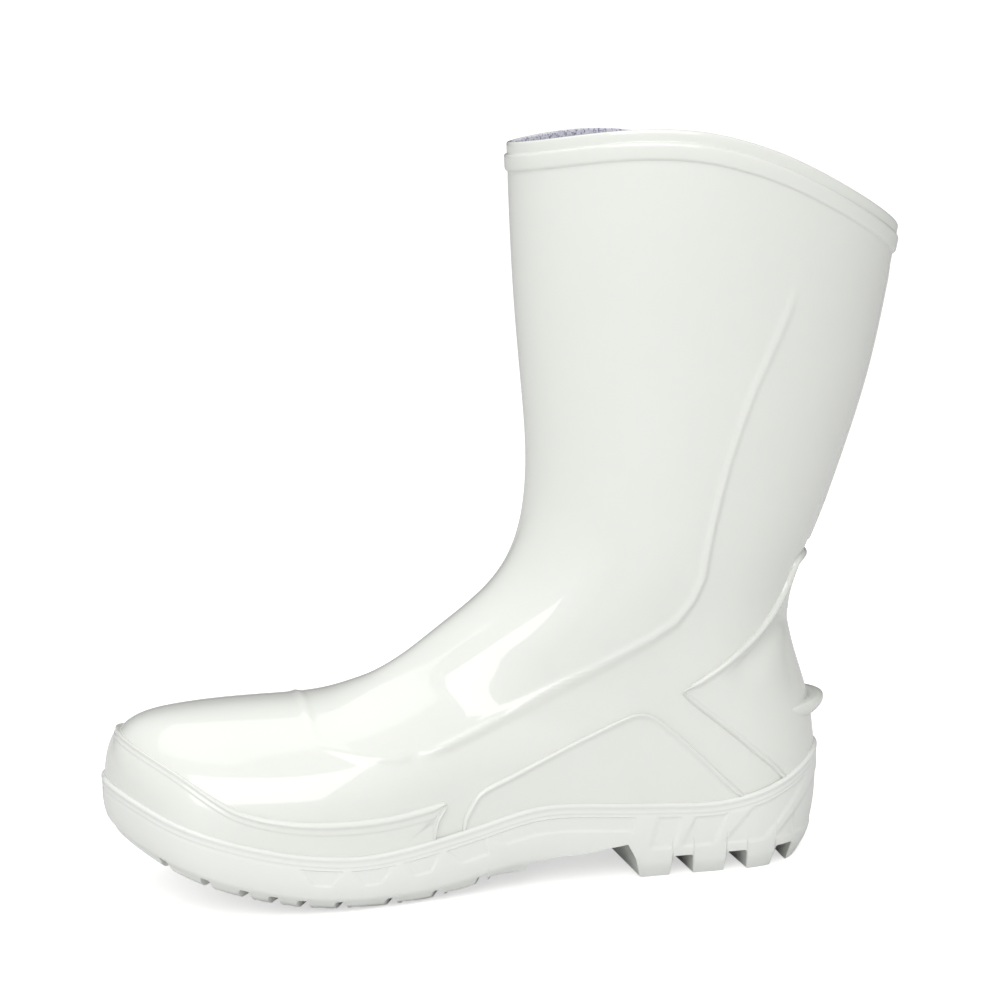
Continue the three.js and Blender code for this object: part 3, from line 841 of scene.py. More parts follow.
# %% The kick-off spur
SPUR_TOP = float(up(0.452))
SPUR_THICK = 7.5
SPUR_MIDDLE, SPUR_BACK = 0.865, 1.0115
SPUR_SIDE = 0.3
SPUR_DROOP = 3.0
SPUR_ANGLE = 1.25
SPUR_SECTIONS = 81
HEEL_POINTS = 400
RAYS_AHEAD = 12.0
FULL_REACH = 6.0
SPUR_PROFILE = np.array([
    [0.0, 0.0], [0.5, 0.0], [0.75, -0.02], [0.88, -0.05], [0.95, -0.1], [0.985, -0.17], [1.0, -0.27],
    [0.985, -0.4], [0.94, -0.53], [0.85, -0.68], [0.7, -0.82], [0.45, -0.95], [0.2, -1.0], [0.0, -1.02],
])


def make_spur():
    """Sections of the shelf, one for each angle round the heel, each from a root on the skin to the rim."""
    middle = np.array([SPUR_MIDDLE * FOOT_LENGTH, 0.0])
    size = np.array([(SPUR_BACK - SPUR_MIDDLE) * FOOT_LENGTH, SPUR_SIDE * BALL_WIDTH])
    centre = middle - np.array([RAYS_AHEAD, 0.0])
    station = back_station(SPUR_TOP - SPUR_THICK / 2)
    heel = boot(station, np.linspace(0.5, 1.5, HEEL_POINTS), SUNK)[:, :2]
    rays = (heel - centre) / np.linalg.norm(heel - centre, axis=-1, keepdims=True)
    rows = []
    for angle in np.linspace(-SPUR_ANGLE, SPUR_ANGLE, SPUR_SECTIONS):
        rim = middle + size * [np.cos(angle), np.sin(angle)]
        toward = (rim - centre) / np.linalg.norm(rim - centre)
        root = heel[np.argmax(rays @ toward)]
        reach = max(0.0, float((rim - root) @ toward))
        down = SPUR_THICK * mix(0.35, 1, smooth(0, FULL_REACH, reach))
        top = SPUR_TOP - SPUR_DROOP * (angle / SPUR_ANGLE) ** 2
        rows.append([
            [*(root + toward * reach * share), top + level * down] for share, level in SPUR_PROFILE])
    return make_piece("kick_spur", np.array(rows), closed_columns=True, caps=True)


spur = make_spur()

# %% [markdown]
# A knitted sock is drawn over the mould's core before the PVC is injected, so it lines the whole
# inside, and its cut edge shows at the rim. It is made like the shell, as two skins about a
# millimetre apart, of which the outer lies hidden in the wall.

# %% The lining
LINING_PROFILE = np.array([
    [3.0, -2.0], [0.9, -2.0], [0.45, -2.1], [0.2, -2.35], [0.15, -2.65], [0.35, -2.95], [0.9, -3.1],
    [2.0, -3.15], [4.0, -3.15],
])
LINING_IN = -3.15
LINING_BACK = -2.0
HIDDEN_ROWS, SHOWN_ROWS = 60, 140


def make_lining():
    """The sock as one skin, up its hidden side, over the cut edge and down the side that shows."""
    turns = shell_turns(SHELL_COLUMNS // 2)
    station_at = collar_walk(turns)
    first, last = LINING_PROFILE[0, 0], LINING_PROFILE[-1, 0]
    hidden = down_the_boot(station_at, turns, LINING_BACK, first, HIDDEN_ROWS)
    rim = [boot(station_at(down), turns, grow) for down, grow in LINING_PROFILE]
    shown = down_the_boot(station_at, turns, LINING_IN, last, SHOWN_ROWS)
    return make_piece("knit_lining", np.array(hidden[::-1] + rim + shown), closed_columns=True)


lining = make_lining()

# %% [markdown]
# The outsole is one moulding with a rounded bead along its top, a finer line under it, slanted
# panels on its wall, and lugs. It could be cut from a block with boolean solids, but cuts leave
# ragged corners. Here it is built as loops that cross the sole from the outer wall to the inner:
# every change from lug to groove is a loop of its own, so each lug has clean rounded edges. The
# forefoot's grooves are chevrons, so there the loops are bent in the same way, with a rounded
# point in the middle. It starts with the line where the outsole's top edge meets the skin.

# %% The outsole's edge
EDGE_COUNT = 700
EDGE_SAMPLES = 900
GROOVE_SLANT = math.tan(math.radians(24))
CHEVRON_ROUND = 2.0


def ground_at(x):
    """The height in mm of the line that the lugs stand on, which rises at the toe."""
    return up(sole(x / FOOT_LENGTH)[1])


def bevel_at(x):
    """How far above that line the walls end, in mm."""
    return up(sole(x / FOOT_LENGTH)[2])


def chevron(x):
    """How much a loop is bent into a chevron: fully under the forefoot, not at all under the heel."""
    return smooth(0.7, 0.56, x / FOOT_LENGTH)


def bent_ahead(x, y):
    """How far a chevron's arms have run towards the toe, in mm, at a distance from the sole's middle."""
    return GROOVE_SLANT * chevron(x) * (np.sqrt(y**2 + CHEVRON_ROUND**2) - CHEVRON_ROUND)


def edge_curves():
    """The outsole's top edge on the skin, from the toe's tip to the heel's back, for both sides."""
    x = mix(-0.03, 1.03, (1 - np.cos(np.linspace(0, np.pi, EDGE_SAMPLES))) / 2) * FOOT_LENGTH
    laid = laid_on_skin(np.stack([x, up(sole(x / FOOT_LENGTH)[0])], -1))
    laid = resampled(laid, EDGE_COUNT)
    curves = {}
    for side in (-1, 1):
        places = boot(laid[:, 0], side * laid[:, 1])
        places[0, 1] = places[-1, 1] = 0.0
        curves[side] = places
    return curves


EDGES = edge_curves()


def across_place(places):
    """Where a loop through these points crosses the sole's middle."""
    return places[:, 0] + bent_ahead(places[:, 0], places[:, 1])


def middle_place(share):
    """Where the loop that meets the outer wall at a share along crosses the sole's middle."""
    outer = EDGES[-1]
    crossings = np.maximum.accumulate(across_place(outer))
    return float(np.interp(share * FOOT_LENGTH, outer[:, 0], crossings))


print("the edge's outer half width at the ball in mm:", round(float(-EDGES[-1][:, 1].min()), 1))

# %% [markdown]
# The tread is one profile along the sole: a height over the ground for each place. Grooves are
# given as shares along where the photograph shows them, on the outer wall. Each lug of the
# forefoot stands a little higher at its front corner, and between forefoot and heel the waist is
# a shallow arch that clears the ground. A groove is half the width of its mouth, half the width
# of its floor and its depth, in mm. Loops are then set one millimetre apart, with one more at
# each corner of the profile.

# %% The tread and its loops
HEEL_GROOVES = [0.769, 0.846, 0.918]
SOLE_GROOVES = [0.062, 0.112, 0.162, 0.2, 0.238, 0.288, 0.357, 0.422, 0.484]
HEEL_GROOVE = (5.0, 4.2, 9.0)
SOLE_GROOVE = (2.5, 2.0, 4.9)
SOLE_END = 0.547
WAIST = np.array([
    # share along, share up
    [0.552, 0.082], [0.57, 0.084], [0.616, 0.089], [0.66, 0.1], [0.69, 0.106], [0.702, 0.06],
    [0.711, 0.0],
])
LOOP_PITCH = 1.0
EDGE_LENGTH = 330


def groove_profile(middle, mouth, floor, depth):
    """Places along the sole and heights over the ground, down one side of a groove and up the other."""
    half = [(-mouth - 0.9, 0), (-mouth - 0.35, 0.12), (-mouth - 0.05, 0.5), (-floor - 0.1, depth - 0.7),
            (-floor + 0.25, depth - 0.15), (-floor + 0.8, depth)]
    return [(middle + x, z) for x, z in half] + [(middle - x, z) for x, z in reversed(half)]


def lug_rake(share):
    """How much higher a forefoot lug's front corner is than its rear one, in mm."""
    return float(mix(0.7, 2.6, smooth(0.12, 0.45, share)))


def tread_profile():
    """The sole's height over the ground along its middle, as rising places and their heights."""
    rows = [(0.0, 0.0)]
    for share in SOLE_GROOVES:
        cut = groove_profile(middle_place(share), *SOLE_GROOVE)
        rows += cut[:-1]
        rows.append((cut[-1][0], lug_rake(share)))
    rows.append((middle_place(SOLE_END) - 0.8, 0.0))
    rows.append((middle_place(SOLE_END), 0.4))
    for share, high in WAIST[:-1]:
        over = float(up(high) - ground_at(share * FOOT_LENGTH))
        rows.append((middle_place(share), max(0.0, over)))
    rows.append((middle_place(WAIST[-1, 0]) - 0.5, 0.8))
    rows.append((middle_place(WAIST[-1, 0]) + 0.5, 0.0))
    for share in HEEL_GROOVES:
        rows += groove_profile(middle_place(share), *HEEL_GROOVE)
    rows.append((1.02 * FOOT_LENGTH, 0.0))
    return np.array(rows)


TREAD = tread_profile()
assert (np.diff(TREAD[:, 0]) > 0).all(), "the tread's places rise along the foot"


def loop_places():
    """Where the loops cross the middle: evenly spaced along the edge, and at each corner of the tread."""
    middle = np.maximum.accumulate(across_place(EDGES[-1]))
    walked = np.linspace(0, 1, EDGE_COUNT)
    even = np.interp(np.linspace(0, 1, int(EDGE_LENGTH / LOOP_PITCH)), walked, middle)
    inner = [place for place in TREAD[:, 0] if middle[0] + 0.5 < place < middle[-1] - 0.5]
    apart = [place for place in even if np.abs(np.array(inner) - place).min() > 0.3]
    return np.array(sorted(apart + inner))


LOOPS = loop_places()
print("outsole's loops:", len(LOOPS), "from", LOOPS[0].round(1), "to", LOOPS[-1].round(1))

# %% [markdown]
# The slanted panels on the heel's wall and the little trapezoids on the forefoot's are steps of
# about half a millimetre. They are drawn by lines seen from the side, and the wall stands back
# inside them. Boolean cuts that shallow would leave slivers, and a bump would vanish in outline.

# %% Panels on the wall
PANEL_DEPTH = 0.6
PANEL_EDGE = 0.5
HEEL_PANELS = [
    # share along of the front and rear sides, how far they lean back for each 10 mm up, in shares
    (0.722, 0.755, 0.009), (0.767, 0.812, 0.016), (0.826, 0.885, 0.03), (0.9, 1.1, 0.036),
]
HEEL_PANEL_TOP, HEEL_PANEL_FOOT = 5.0, 13.0
FORE_PANELS = [
    # share along of the top corners and of the bottom corners, mm under the edge of top and bottom
    (0.372, 0.423, 0.386, 0.411, 5.4, 12.4), (0.43, 0.487, 0.455, 0.492, 5.4, 13.0),
    (0.487, 0.7, 0.516, 0.7, 5.4, 11.5), (0.3, 0.36, 0.318, 0.342, 5.4, 12.0),
    (0.235, 0.29, 0.252, 0.275, 5.4, 12.0),
]


def past(limit, value):
    """0 before a limit and 1 past it, eased over the edge of a panel."""
    return smooth(limit - PANEL_EDGE, limit + PANEL_EDGE, value)


def between(front, rear, x):
    """1 between two shares along and 0 outside them."""
    return past(front * FOOT_LENGTH, x) * (1 - past(rear * FOOT_LENGTH, x))


def mark_depth(x, z, down):
    """How far the wall stands back inside the shallow panels of the heel and the forefoot."""
    depth = np.zeros(x.shape)
    for front, rear, lean in HEEL_PANELS:
        back = lean * (z - HEEL_PANEL_FOOT) / 10
        inside = between(front + back, rear + back, x)
        depth += inside * past(HEEL_PANEL_TOP, down) * past(HEEL_PANEL_FOOT, z)
    for top_front, top_rear, low_front, low_rear, top, low in FORE_PANELS:
        t = (down - top) / (low - top)
        inside = between(mix(top_front, low_front, t), mix(top_rear, low_rear, t), x)
        depth += inside * past(top, down) * (1 - past(low, down))
    return PANEL_DEPTH * depth


print("panels on the heel and the forefoot:", len(HEEL_PANELS), len(FORE_PANELS))

# %% [markdown]
# The wall's upper rows are given in mm down from the top edge and mm out from the upper's skin,
# so the bead and the fine lines keep their size all the way round. Below them a level runs from
# 0 under the lines to 1 at the foot of a lug, and says how far the wall leans in. A wall above a
# groove stops at a lower level, so it stays flush with the lugs beside it. The lean is in shares
# of the tuck, in mm, which is greatest at the back of the heel.

# %% The outsole's wall
WALL_TOP = np.array([
    [1.1, 0.32], [0.35, 0.36], [0.05, 0.62], [0.0, 0.95], [0.03, 1.35], [0.2, 1.8], [0.5, 2.15],
    [0.95, 2.36], [1.4, 2.34], [1.8, 2.2], [2.1, 2.04], [2.5, 1.97], [3.1, 2.0], [3.45, 2.07],
    [3.75, 2.14], [4.1, 2.1], [4.35, 1.97], [4.6, 1.92], [5.0, 1.96], [5.6, 2.05],
])
WALL_LEVELS = np.array([
    [0.0, 0.0], [0.08, 0.0], [0.13, 0.0], [0.18, 0.01], [0.24, 0.02], [0.3, 0.04], [0.36, 0.06],
    [0.42, 0.09], [0.48, 0.13], [0.54, 0.18], [0.6, 0.24], [0.66, 0.31], [0.72, 0.39], [0.78, 0.49],
    [0.84, 0.6], [0.9, 0.73], [0.95, 0.86], [0.985, 0.97], [1.0, 1.05],
])
WALL_STEPS = 34
WALL_OUT = 2.1
FOOT_ROUND = 0.6
SIDE_TUCK, HEEL_TUCK, TOE_TUCK = 3.0, 9.0, 3.0
WAY_REACH = 6
RISING = 1e-7


def curve_at(side, crossings):
    """Points of the edge curve where the loops meet it, and the outward ways there."""
    curve, mirror = EDGES[side], EDGES[-side]
    places = np.arange(EDGE_COUNT)
    index = np.interp(crossings, np.maximum.accumulate(across_place(curve) + places * RISING), places)
    index[0], index[-1] = 0, EDGE_COUNT - 1
    points = np.stack([np.interp(index, places, column) for column in curve.T], -1)
    # The other side's first and last points are joined on, so that the ways turn evenly over the ends.
    extended = np.vstack([mirror[8:0:-1], curve, mirror[-2:-10:-1]])
    way = evened(np.gradient(extended[:, :2], axis=0)[8:-8], WAY_REACH)
    way = np.stack([np.interp(index, places, column) for column in way.T], -1)
    way /= np.linalg.norm(way, axis=-1, keepdims=True)
    out = side * np.stack([-way[:, 1], way[:, 0], np.zeros(len(way))], -1)
    out[0], out[-1] = [-1, 0, 0], [1, 0, 0]
    return points, out


def tread_at(crossing):
    """The tread's height over the ground for loops that cross the middle at these places."""
    return np.interp(crossing, TREAD[:, 0], TREAD[:, 1])


def wall_rows(side, crossings):
    """The wall's rows on one side, from under the bead down to its foot."""
    edge, out = curve_at(side, crossings)
    tuck = mix(SIDE_TUCK, np.where(out[:, 0] > 0, HEEL_TUCK, TOE_TUCK), out[:, 0] ** 2)
    rows = []
    for down, proud in WALL_TOP:
        rows.append(edge + out * proud - np.array([0, 0, down]))
    # The level is counted against a lug's foot everywhere, also where the wall ends over a groove.
    top = edge[:, 2] - WALL_TOP[-1, 0]
    lug_foot = ground_at(edge[:, 0]) + bevel_at(edge[:, 0])
    foot = np.maximum(lug_foot, ground_at(edge[:, 0]) + tread_at(crossings))
    for share in np.linspace(0, 1, WALL_STEPS + 1)[1:]:
        z = mix(top, foot, share)
        level = (top - z) / (top - lug_foot)
        inward = np.interp(level, *WALL_LEVELS.T) * tuck + mark_depth(edge[:, 0], z, edge[:, 2] - z)
        proud = WALL_OUT * (1 - FOOT_ROUND * smooth(0.75, 1, level))
        point = edge + out * (proud - inward)[:, None]
        point[:, 2] = z
        rows.append(point)
    return rows


outer_wall, inner_wall = wall_rows(-1, LOOPS), wall_rows(1, LOOPS)
print("rows on each wall:", len(outer_wall))

# %% [markdown]
# Under the sole the rows run from one wall's foot to the other's, with the tread's height and a
# bevel along the rim. The walls lean in, so the first and last loops are drawn in with them. A
# last set of rows, which nobody sees, closes the moulding under the upper's bottom. It is drawn in
# too, or it would come out through the wall behind the heel.

# %% The underside and the whole outsole
RIM_WIDTH = 8.0
UNDER_COLUMNS = 34
END_REACH = 19.0
CUP_INSET = 4.0
CUP_ROWS = 9
CUP_DROP = 1.2
SOLE_CREASE = 38


def drawn_in(crossings, start, end):
    """The loops' middles, with the first and last moved to the walls' feet."""
    first, last = crossings[0] + END_REACH, crossings[-1] - END_REACH
    return np.interp(crossings, [crossings[0], first, last, crossings[-1]], [start, first, last, end])


def under_rows(outer_foot, inner_foot, crossings):
    """Rows across the underside from the outer wall's foot to the inner's."""
    middles = drawn_in(crossings, outer_foot[0, 0], outer_foot[-1, 0])
    outer_pull, inner_pull = [
        foot[:, 0] - middles + bent_ahead(middles, foot[:, 1]) for foot in (outer_foot, inner_foot)]
    rows = []
    for t in np.linspace(0, 1, UNDER_COLUMNS + 2)[1:-1]:
        eased = 0.5 - 0.5 * np.cos(np.pi * t)
        y = mix(outer_foot[:, 1], inner_foot[:, 1], eased)
        x = middles - bent_ahead(middles, y)
        x = x + smooth(1, 0, eased * 2) * outer_pull + smooth(1, 0, (1 - eased) * 2) * inner_pull
        from_rim = np.minimum(y - outer_foot[:, 1], inner_foot[:, 1] - y)
        crown = bevel_at(x) * (1 - np.clip(from_rim / RIM_WIDTH, 0, 1)) ** 2
        z = ground_at(x) + np.maximum(crown, tread_at(crossings))
        rows.append(np.stack([x, y, z], -1))
    return rows


def cup_rows(crossings):
    """Hidden rows that close the outsole under the upper's bottom."""
    rows = []
    outer, out_outer = curve_at(-1, crossings)
    inner, out_inner = curve_at(1, crossings)
    stations = np.linspace(HEEL_CORNER + 1, LAST_STATION, 300)
    bottom = lines(stations, 0)[1]
    for t in np.linspace(0, 1, CUP_ROWS):
        point = mix(inner - out_inner * CUP_INSET, outer - out_outer * CUP_INSET, t)
        low = np.interp(point[:, 0], bottom[0][::-1], bottom[1][::-1]) - GAP
        point[:, 2] = np.minimum(low, point[:, 2] - CUP_DROP)
        rows.append(point)
    return rows


underside = under_rows(outer_wall[-1], inner_wall[-1], LOOPS)
sole_rows = outer_wall + underside + inner_wall[::-1] + cup_rows(LOOPS)
outsole = make_piece("outsole_moulding", np.array(sole_rows), closed_rows=True, crease_angle=SOLE_CREASE)

# %% [markdown]
# Materials start from what the real ones are. One function turns the hex colours that a designer
# would write, which are sRGB, into the linear light that Blender works in, and one function adds
# a node with its settings and links.


# %% Colours and nodes
def linear(hex_colour):
    """A hex sRGB colour as linear red, green, blue and alpha."""
    values = [int(hex_colour[i:i + 2], 16) / 255 for i in (1, 3, 5)]
    return [v / 12.92 if v <= 0.04045 else ((v + 0.055) / 1.055) ** 2.4 for v in values] + [1.0]


def add_node(tree, kind, inputs=None, **settings):
    """A node of a kind, with its settings, and its inputs set to values or linked to outputs."""
    node = tree.nodes.new(kind)
    for name, value in settings.items():
        setattr(node, name, value)
    for name, value in (inputs or {}).items():
        if isinstance(value, bpy.types.NodeSocket):
            tree.links.new(value, node.inputs[name])
        else:
            node.inputs[name].default_value = value
    return node


def new_material(name):
    """A material with an empty node tree, its shader and its output."""
    material = bpy.data.materials.new(name)
    material.use_nodes = True
    tree = material.node_tree
    tree.nodes.clear()
    shader = add_node(tree, "ShaderNodeBsdfPrincipled")
    add_node(tree, "ShaderNodeOutputMaterial", {"Surface": shader.outputs["BSDF"]})
    return material, tree, shader


def set_inputs(shader, **values):
    """Sets constants on the shader's own sockets, named with underscores for spaces."""
    for name, value in values.items():
        shader.inputs[name.replace("_", " ")].default_value = value


# %% [markdown]
# Injection-moulded soft PVC comes out of a polished steel mould, so it is glossy, with a faint
# orange-peel waviness a few millimetres wide and a fine grain. Its gleams are sharp but its sides
# shade off softly, which a clear coat over a duller base gives. White pigment makes it opaque, but
# light still bleeds about a millimetre into it, which softens the shadows in the grooves. The
# upper's blend is a cool white with a touch of green, and the outsole's, from a blasted mould, is
# a little lighter and has far less of the coat.

# %% Moulded PVC
PEEL_WIDTH = 3.5 * MM
HAZE_WIDTH = 26.0 * MM
GRAIN_WIDTH = 0.5 * MM
GRAIN_SHARE = 0.06
BLEED_DEPTH = 1.6 * MM


def moulded_pvc(name, pale, deep, roughness, haze, peel_height, coat, bleed):
    """Glossy moulded PVC: a mottled pale colour, orange peel, a fine grain and patches of haze."""
    material, tree, shader = new_material(name)
    place = add_node(tree, "ShaderNodeTexCoord").outputs["Object"]
    mottle = add_node(tree, "ShaderNodeTexNoise", {"Vector": place, "Scale": 1 / HAZE_WIDTH, "Detail": 3.0})
    colour = add_node(tree, "ShaderNodeMix", {
        "Factor": mottle.outputs["Fac"], "A": linear(pale), "B": linear(deep)}, data_type="RGBA")
    spread = add_node(tree, "ShaderNodeMapRange", {
        "Value": mottle.outputs["Fac"], "From Min": 0.2, "From Max": 0.8,
        "To Min": roughness - haze, "To Max": roughness + haze})
    peel = add_node(tree, "ShaderNodeTexNoise", {"Vector": place, "Scale": 1 / PEEL_WIDTH, "Detail": 2.0})
    wavy = add_node(tree, "ShaderNodeBump", {
        "Height": peel.outputs["Fac"], "Strength": 1.0, "Distance": peel_height})
    grain = add_node(tree, "ShaderNodeTexNoise", {"Vector": place, "Scale": 1 / GRAIN_WIDTH, "Detail": 2.0})
    rough = add_node(tree, "ShaderNodeBump", {
        "Height": grain.outputs["Fac"], "Strength": 1.0, "Distance": peel_height * GRAIN_SHARE,
        "Normal": wavy.outputs["Normal"]})
    tree.links.new(colour.outputs[2], shader.inputs["Base Color"])
    tree.links.new(spread.outputs["Result"], shader.inputs["Roughness"])
    tree.links.new(rough.outputs["Normal"], shader.inputs["Normal"])
    set_inputs(shader, IOR=1.54, Coat_Weight=coat, Coat_Roughness=0.05, Coat_IOR=1.5,
               Subsurface_Weight=bleed, Subsurface_Radius=(1.0, 0.9, 0.75),
               Subsurface_Scale=BLEED_DEPTH)
    return material


GLOSSY_WHITE_PVC = moulded_pvc(
    "glossy_white_moulded_pvc", "#E9EBE5", "#E6E8E2", roughness=0.42, haze=0.02,
    peel_height=0.006 * MM, coat=1.0, bleed=0.08)
SATIN_WHITE_PVC = moulded_pvc(
    "satin_white_moulded_pvc", "#EEF0EC", "#EBEDE8", roughness=0.34, haze=0.03,
    peel_height=0.02 * MM, coat=0.2, bleed=0.15)
print("moulded materials:", GLOSSY_WHITE_PVC.name, SATIN_WHITE_PVC.name)


# %% [markdown]
# The lining is a plain knitted sock of white polyester with dark violet flecks. Its wales are
# about 1.2 mm wide, drawn here as small staggered stitches in the bump, and the yarn's fuzz gives
# it a soft sheen. The insole is foam under a woven cloth with threads about 0.8 mm apart.

# %% Knit and woven cloth
FLECK_WIDTH = 1.1 * MM
WAVES_PER_PITCH = 0.32


def cloth(name, base, fleck, fleck_share, pitch, height, knit):
    """A cloth with its stitches or threads as bump, and flecks of a second yarn."""
    material, tree, shader = new_material(name)
    place = add_node(tree, "ShaderNodeTexCoord").outputs["Object"]
    speck = add_node(tree, "ShaderNodeTexNoise", {
        "Vector": place, "Scale": 1 / FLECK_WIDTH, "Detail": 3.0, "Roughness": 0.7})
    chosen = add_node(tree, "ShaderNodeMapRange", {
        "Value": speck.outputs["Fac"],
        "From Min": 0.62 - fleck_share, "From Max": 0.66 - fleck_share / 2})
    colour = add_node(tree, "ShaderNodeMix", {
        "Factor": chosen.outputs["Result"], "A": linear(base), "B": linear(fleck)}, data_type="RGBA")
    stitches = add_node(tree, "ShaderNodeTexVoronoi" if knit else "ShaderNodeTexWave", {
        "Vector": place, "Scale": 1 / pitch if knit else WAVES_PER_PITCH / pitch})
    relief = stitches.outputs["Distance" if knit else "Fac"]
    bump = add_node(tree, "ShaderNodeBump", {
        "Height": relief, "Strength": 1.0, "Distance": height}, invert=knit)
    tree.links.new(colour.outputs[2], shader.inputs["Base Color"])
    tree.links.new(bump.outputs["Normal"], shader.inputs["Normal"])
    set_inputs(shader, Roughness=0.9, Sheen_Weight=0.25, Sheen_Roughness=0.5, IOR=1.5)
    return material


KNITTED_POLYESTER = cloth(
    "knitted_polyester", "#DADAE3", "#76769A", fleck_share=0.1, pitch=1.2 * MM, height=0.3 * MM,
    knit=True)
WOVEN_INSOLE_CLOTH = cloth(
    "woven_insole_cloth", "#B9BAC8", "#8C8DA3", fleck_share=0.08, pitch=0.8 * MM, height=0.2 * MM,
    knit=False)
print("cloths:", KNITTED_POLYESTER.name, WOVEN_INSOLE_CLOTH.name)

# %% [markdown]
# Each piece now gets its material and rides on the model's one body, and the CAD solid it refines is
# hidden. The layers, rib and spur are parts of the same moulding as the shell, so they hide the same CAD
# solid, the upper. The insole's CAD solid has the right shape already and only gets the cloth.

# %% Pieces, bodies and hidden CAD solids
UPPER_PIECES = ["upper_shell", "toe_guard", "side_panel_outer", "side_panel_inner", "heel_counter",
                "back_rib", "kick_spur"]


def dress(name, material, node):
    """Gives a piece its material and its body, and hides the CAD solid it stands for."""
    piece = bpy.data.objects[name]
    piece.data.materials.clear()
    piece.data.materials.append(material)
    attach(piece, "root")
    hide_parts(node)


for name in UPPER_PIECES:
    dress(name, GLOSSY_WHITE_PVC, "upper")
dress("knit_lining", KNITTED_POLYESTER, "upper")
dress("outsole_moulding", SATIN_WHITE_PVC, "outsole")
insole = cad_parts["insole"]
insole.data.materials.clear()
insole.data.materials.append(WOVEN_INSOLE_CLOTH)
print("pieces dressed:", len(UPPER_PIECES) + 3)

# %% [markdown]
# The picture was taken with a long lens from a little above, on the outer side and slightly ahead
# of the boot. The place and turn were worked out by fitting the boot's outline, and the small
# roll brings the heel end up as in the photograph. A white floor reaches to the horizon. It glows
# a little for the camera, so that it stays as white as the photograph's background, and throws a
# duller light up at the boot, which keeps the undersides readable.

# %% Camera and floor
CAMERA_PLACE = Vector((-0.2485, -1.05085, 0.3224))
CAMERA_TARGET = Vector((-0.0023, -0.00045, 0.1572))
CAMERA_ROLL = math.radians(1.068)
PICTURE_SIDE = 1000
FOCAL_PIXELS = 2618
SENSOR_WIDTH = 36.0
FLOOR_GLOW = 0.55
FLOOR_BOUNCE = "#E2E2E2"
FLOOR_REACH = 60.0


def make_camera():
    """A camera at its place, turned to its target and rolled about its own axis."""
    data = bpy.data.cameras.new("camera")
    data.sensor_width = SENSOR_WIDTH
    data.lens = FOCAL_PIXELS * SENSOR_WIDTH / PICTURE_SIDE
    camera = bpy.data.objects.new("camera", data)
    bpy.context.scene.collection.objects.link(camera)
    forward = (CAMERA_TARGET - CAMERA_PLACE).normalized()
    right = forward.cross(Vector((0, 0, 1))).normalized()
    above = right.cross(forward)
    rolled_right = right * math.cos(CAMERA_ROLL) - above * math.sin(CAMERA_ROLL)
    rolled_up = right * math.sin(CAMERA_ROLL) + above * math.cos(CAMERA_ROLL)
    turn = Matrix((rolled_right, rolled_up, -forward)).transposed()
    camera.matrix_world = Matrix.Translation(CAMERA_PLACE) @ turn.to_4x4()
    bpy.context.scene.camera = camera
    return camera


def studio_floor_material():
    """A white floor that the camera sees bright, but that throws less light up at the boot."""
    material, tree, shader = new_material("white_studio_floor")
    set_inputs(shader, Base_Color=linear("#F2F2F1"), Roughness=0.9, Specular_IOR_Level=0.0,
               Emission_Color=linear("#FFFFFF"), Emission_Strength=FLOOR_GLOW)
    bounce = add_node(tree, "ShaderNodeBsdfDiffuse", {"Color": linear(FLOOR_BOUNCE)})
    seen = add_node(tree, "ShaderNodeLightPath").outputs["Is Camera Ray"]
    both = add_node(tree, "ShaderNodeMixShader", {
        0: seen, 1: bounce.outputs["BSDF"], 2: shader.outputs["BSDF"]})
    output = [node for node in tree.nodes if node.type == "OUTPUT_MATERIAL"][0]
    tree.links.new(both.outputs[0], output.inputs["Surface"])
    return material


def make_floor():
    mesh = bpy.data.meshes.new("floor")
    corners = [(x * FLOOR_REACH, y * FLOOR_REACH, 0) for x, y in ((-1, -1), (1, -1), (1, 1), (-1, 1))]
    mesh.from_pydata(corners, [], [(0, 1, 2, 3)])
    floor = bpy.data.objects.new("floor", mesh)
    bpy.context.scene.collection.objects.link(floor)
    mesh.materials.append(studio_floor_material())
    return floor


camera, floor = make_camera(), make_floor()
print("camera lens in mm:", round(camera.data.lens, 2))

# %% [markdown]
# White on white needs shape from the light. The studio is dim but for one wide glow from above,
# ahead of the toe and on the camera's side, so that the leg shades off towards its back and its
# outline. Two large soft boxes put the broad gleams on the toe and the instep. The camera itself
# sees plain white beyond the floor. A standard view keeps white as white.

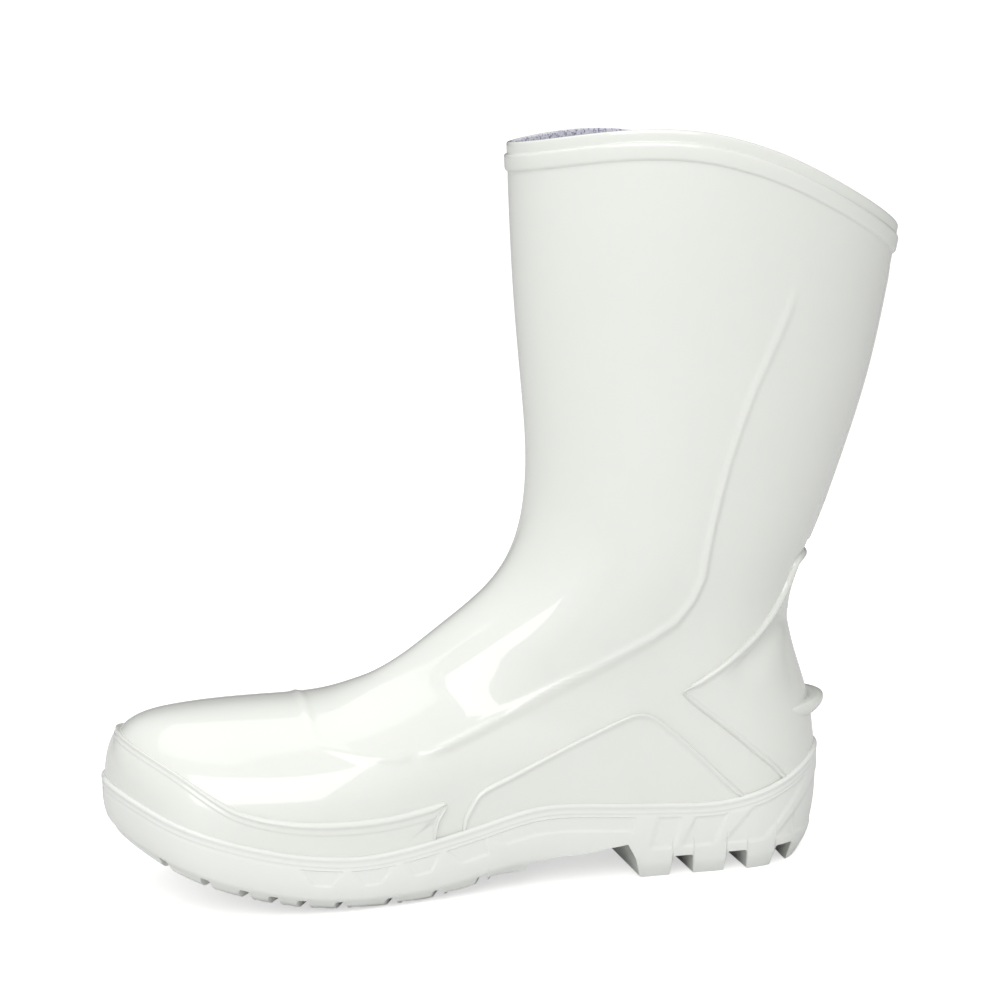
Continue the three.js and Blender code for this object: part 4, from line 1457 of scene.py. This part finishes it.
# %% Light
BACKDROP = 1.2
DOME_BRIGHT, DOME_DARK = 0.74, 0.1
DOME_MIDDLE = (-0.4, -0.5, 0.77)
SOFT_BOXES = [
    # name, place, aimed at, width, height, watts
    ("box_top", (-0.2, 0.1, 1.3), (-0.05, 0.0, 0.1), 1.2, 0.9, 3.6),
    ("box_front", (-0.25, -0.9, 0.75), (0.0, 0.0, 0.2), 0.8, 0.6, 4.2),
]


def make_dome():
    """Light from all round, bright about one direction and dim away from it."""
    world = bpy.data.worlds.new("studio")
    bpy.context.scene.world = world
    world.use_nodes = True
    tree = world.node_tree
    tree.nodes.clear()
    way = add_node(tree, "ShaderNodeTexCoord").outputs["Generated"]
    middle = Vector(DOME_MIDDLE).normalized()
    nearness = add_node(tree, "ShaderNodeVectorMath", {0: way, 1: middle}, operation="DOT_PRODUCT")
    strength = add_node(tree, "ShaderNodeMapRange", {
        "Value": nearness.outputs["Value"], "From Min": -0.5, "From Max": 0.4,
        "To Min": DOME_DARK, "To Max": DOME_BRIGHT}, interpolation_type="SMOOTHSTEP")
    dome = add_node(tree, "ShaderNodeBackground", {
        "Color": linear("#FFFFFF"), "Strength": strength.outputs["Result"]})
    plain = add_node(tree, "ShaderNodeBackground", {"Color": linear("#FFFFFF"), "Strength": BACKDROP})
    seen = add_node(tree, "ShaderNodeLightPath").outputs["Is Camera Ray"]
    both = add_node(tree, "ShaderNodeMixShader", {0: seen, 1: dome.outputs[0], 2: plain.outputs[0]})
    add_node(tree, "ShaderNodeOutputWorld", {"Surface": both.outputs[0]})


def make_soft_box(name, place, target, width, height, watts):
    """A rectangular area light at a place, turned to its target."""
    data = bpy.data.lights.new(name, "AREA")
    data.shape = "RECTANGLE"
    data.size, data.size_y, data.energy = width, height, watts
    light = bpy.data.objects.new(name, data)
    bpy.context.scene.collection.objects.link(light)
    way = Vector(target) - Vector(place)
    light.matrix_world = Matrix.Translation(place) @ way.to_track_quat("-Z", "Y").to_matrix().to_4x4()


make_dome()
for row in SOFT_BOXES:
    make_soft_box(*row)
bpy.context.scene.view_settings.view_transform = "Standard"
print("soft boxes:", len(SOFT_BOXES))
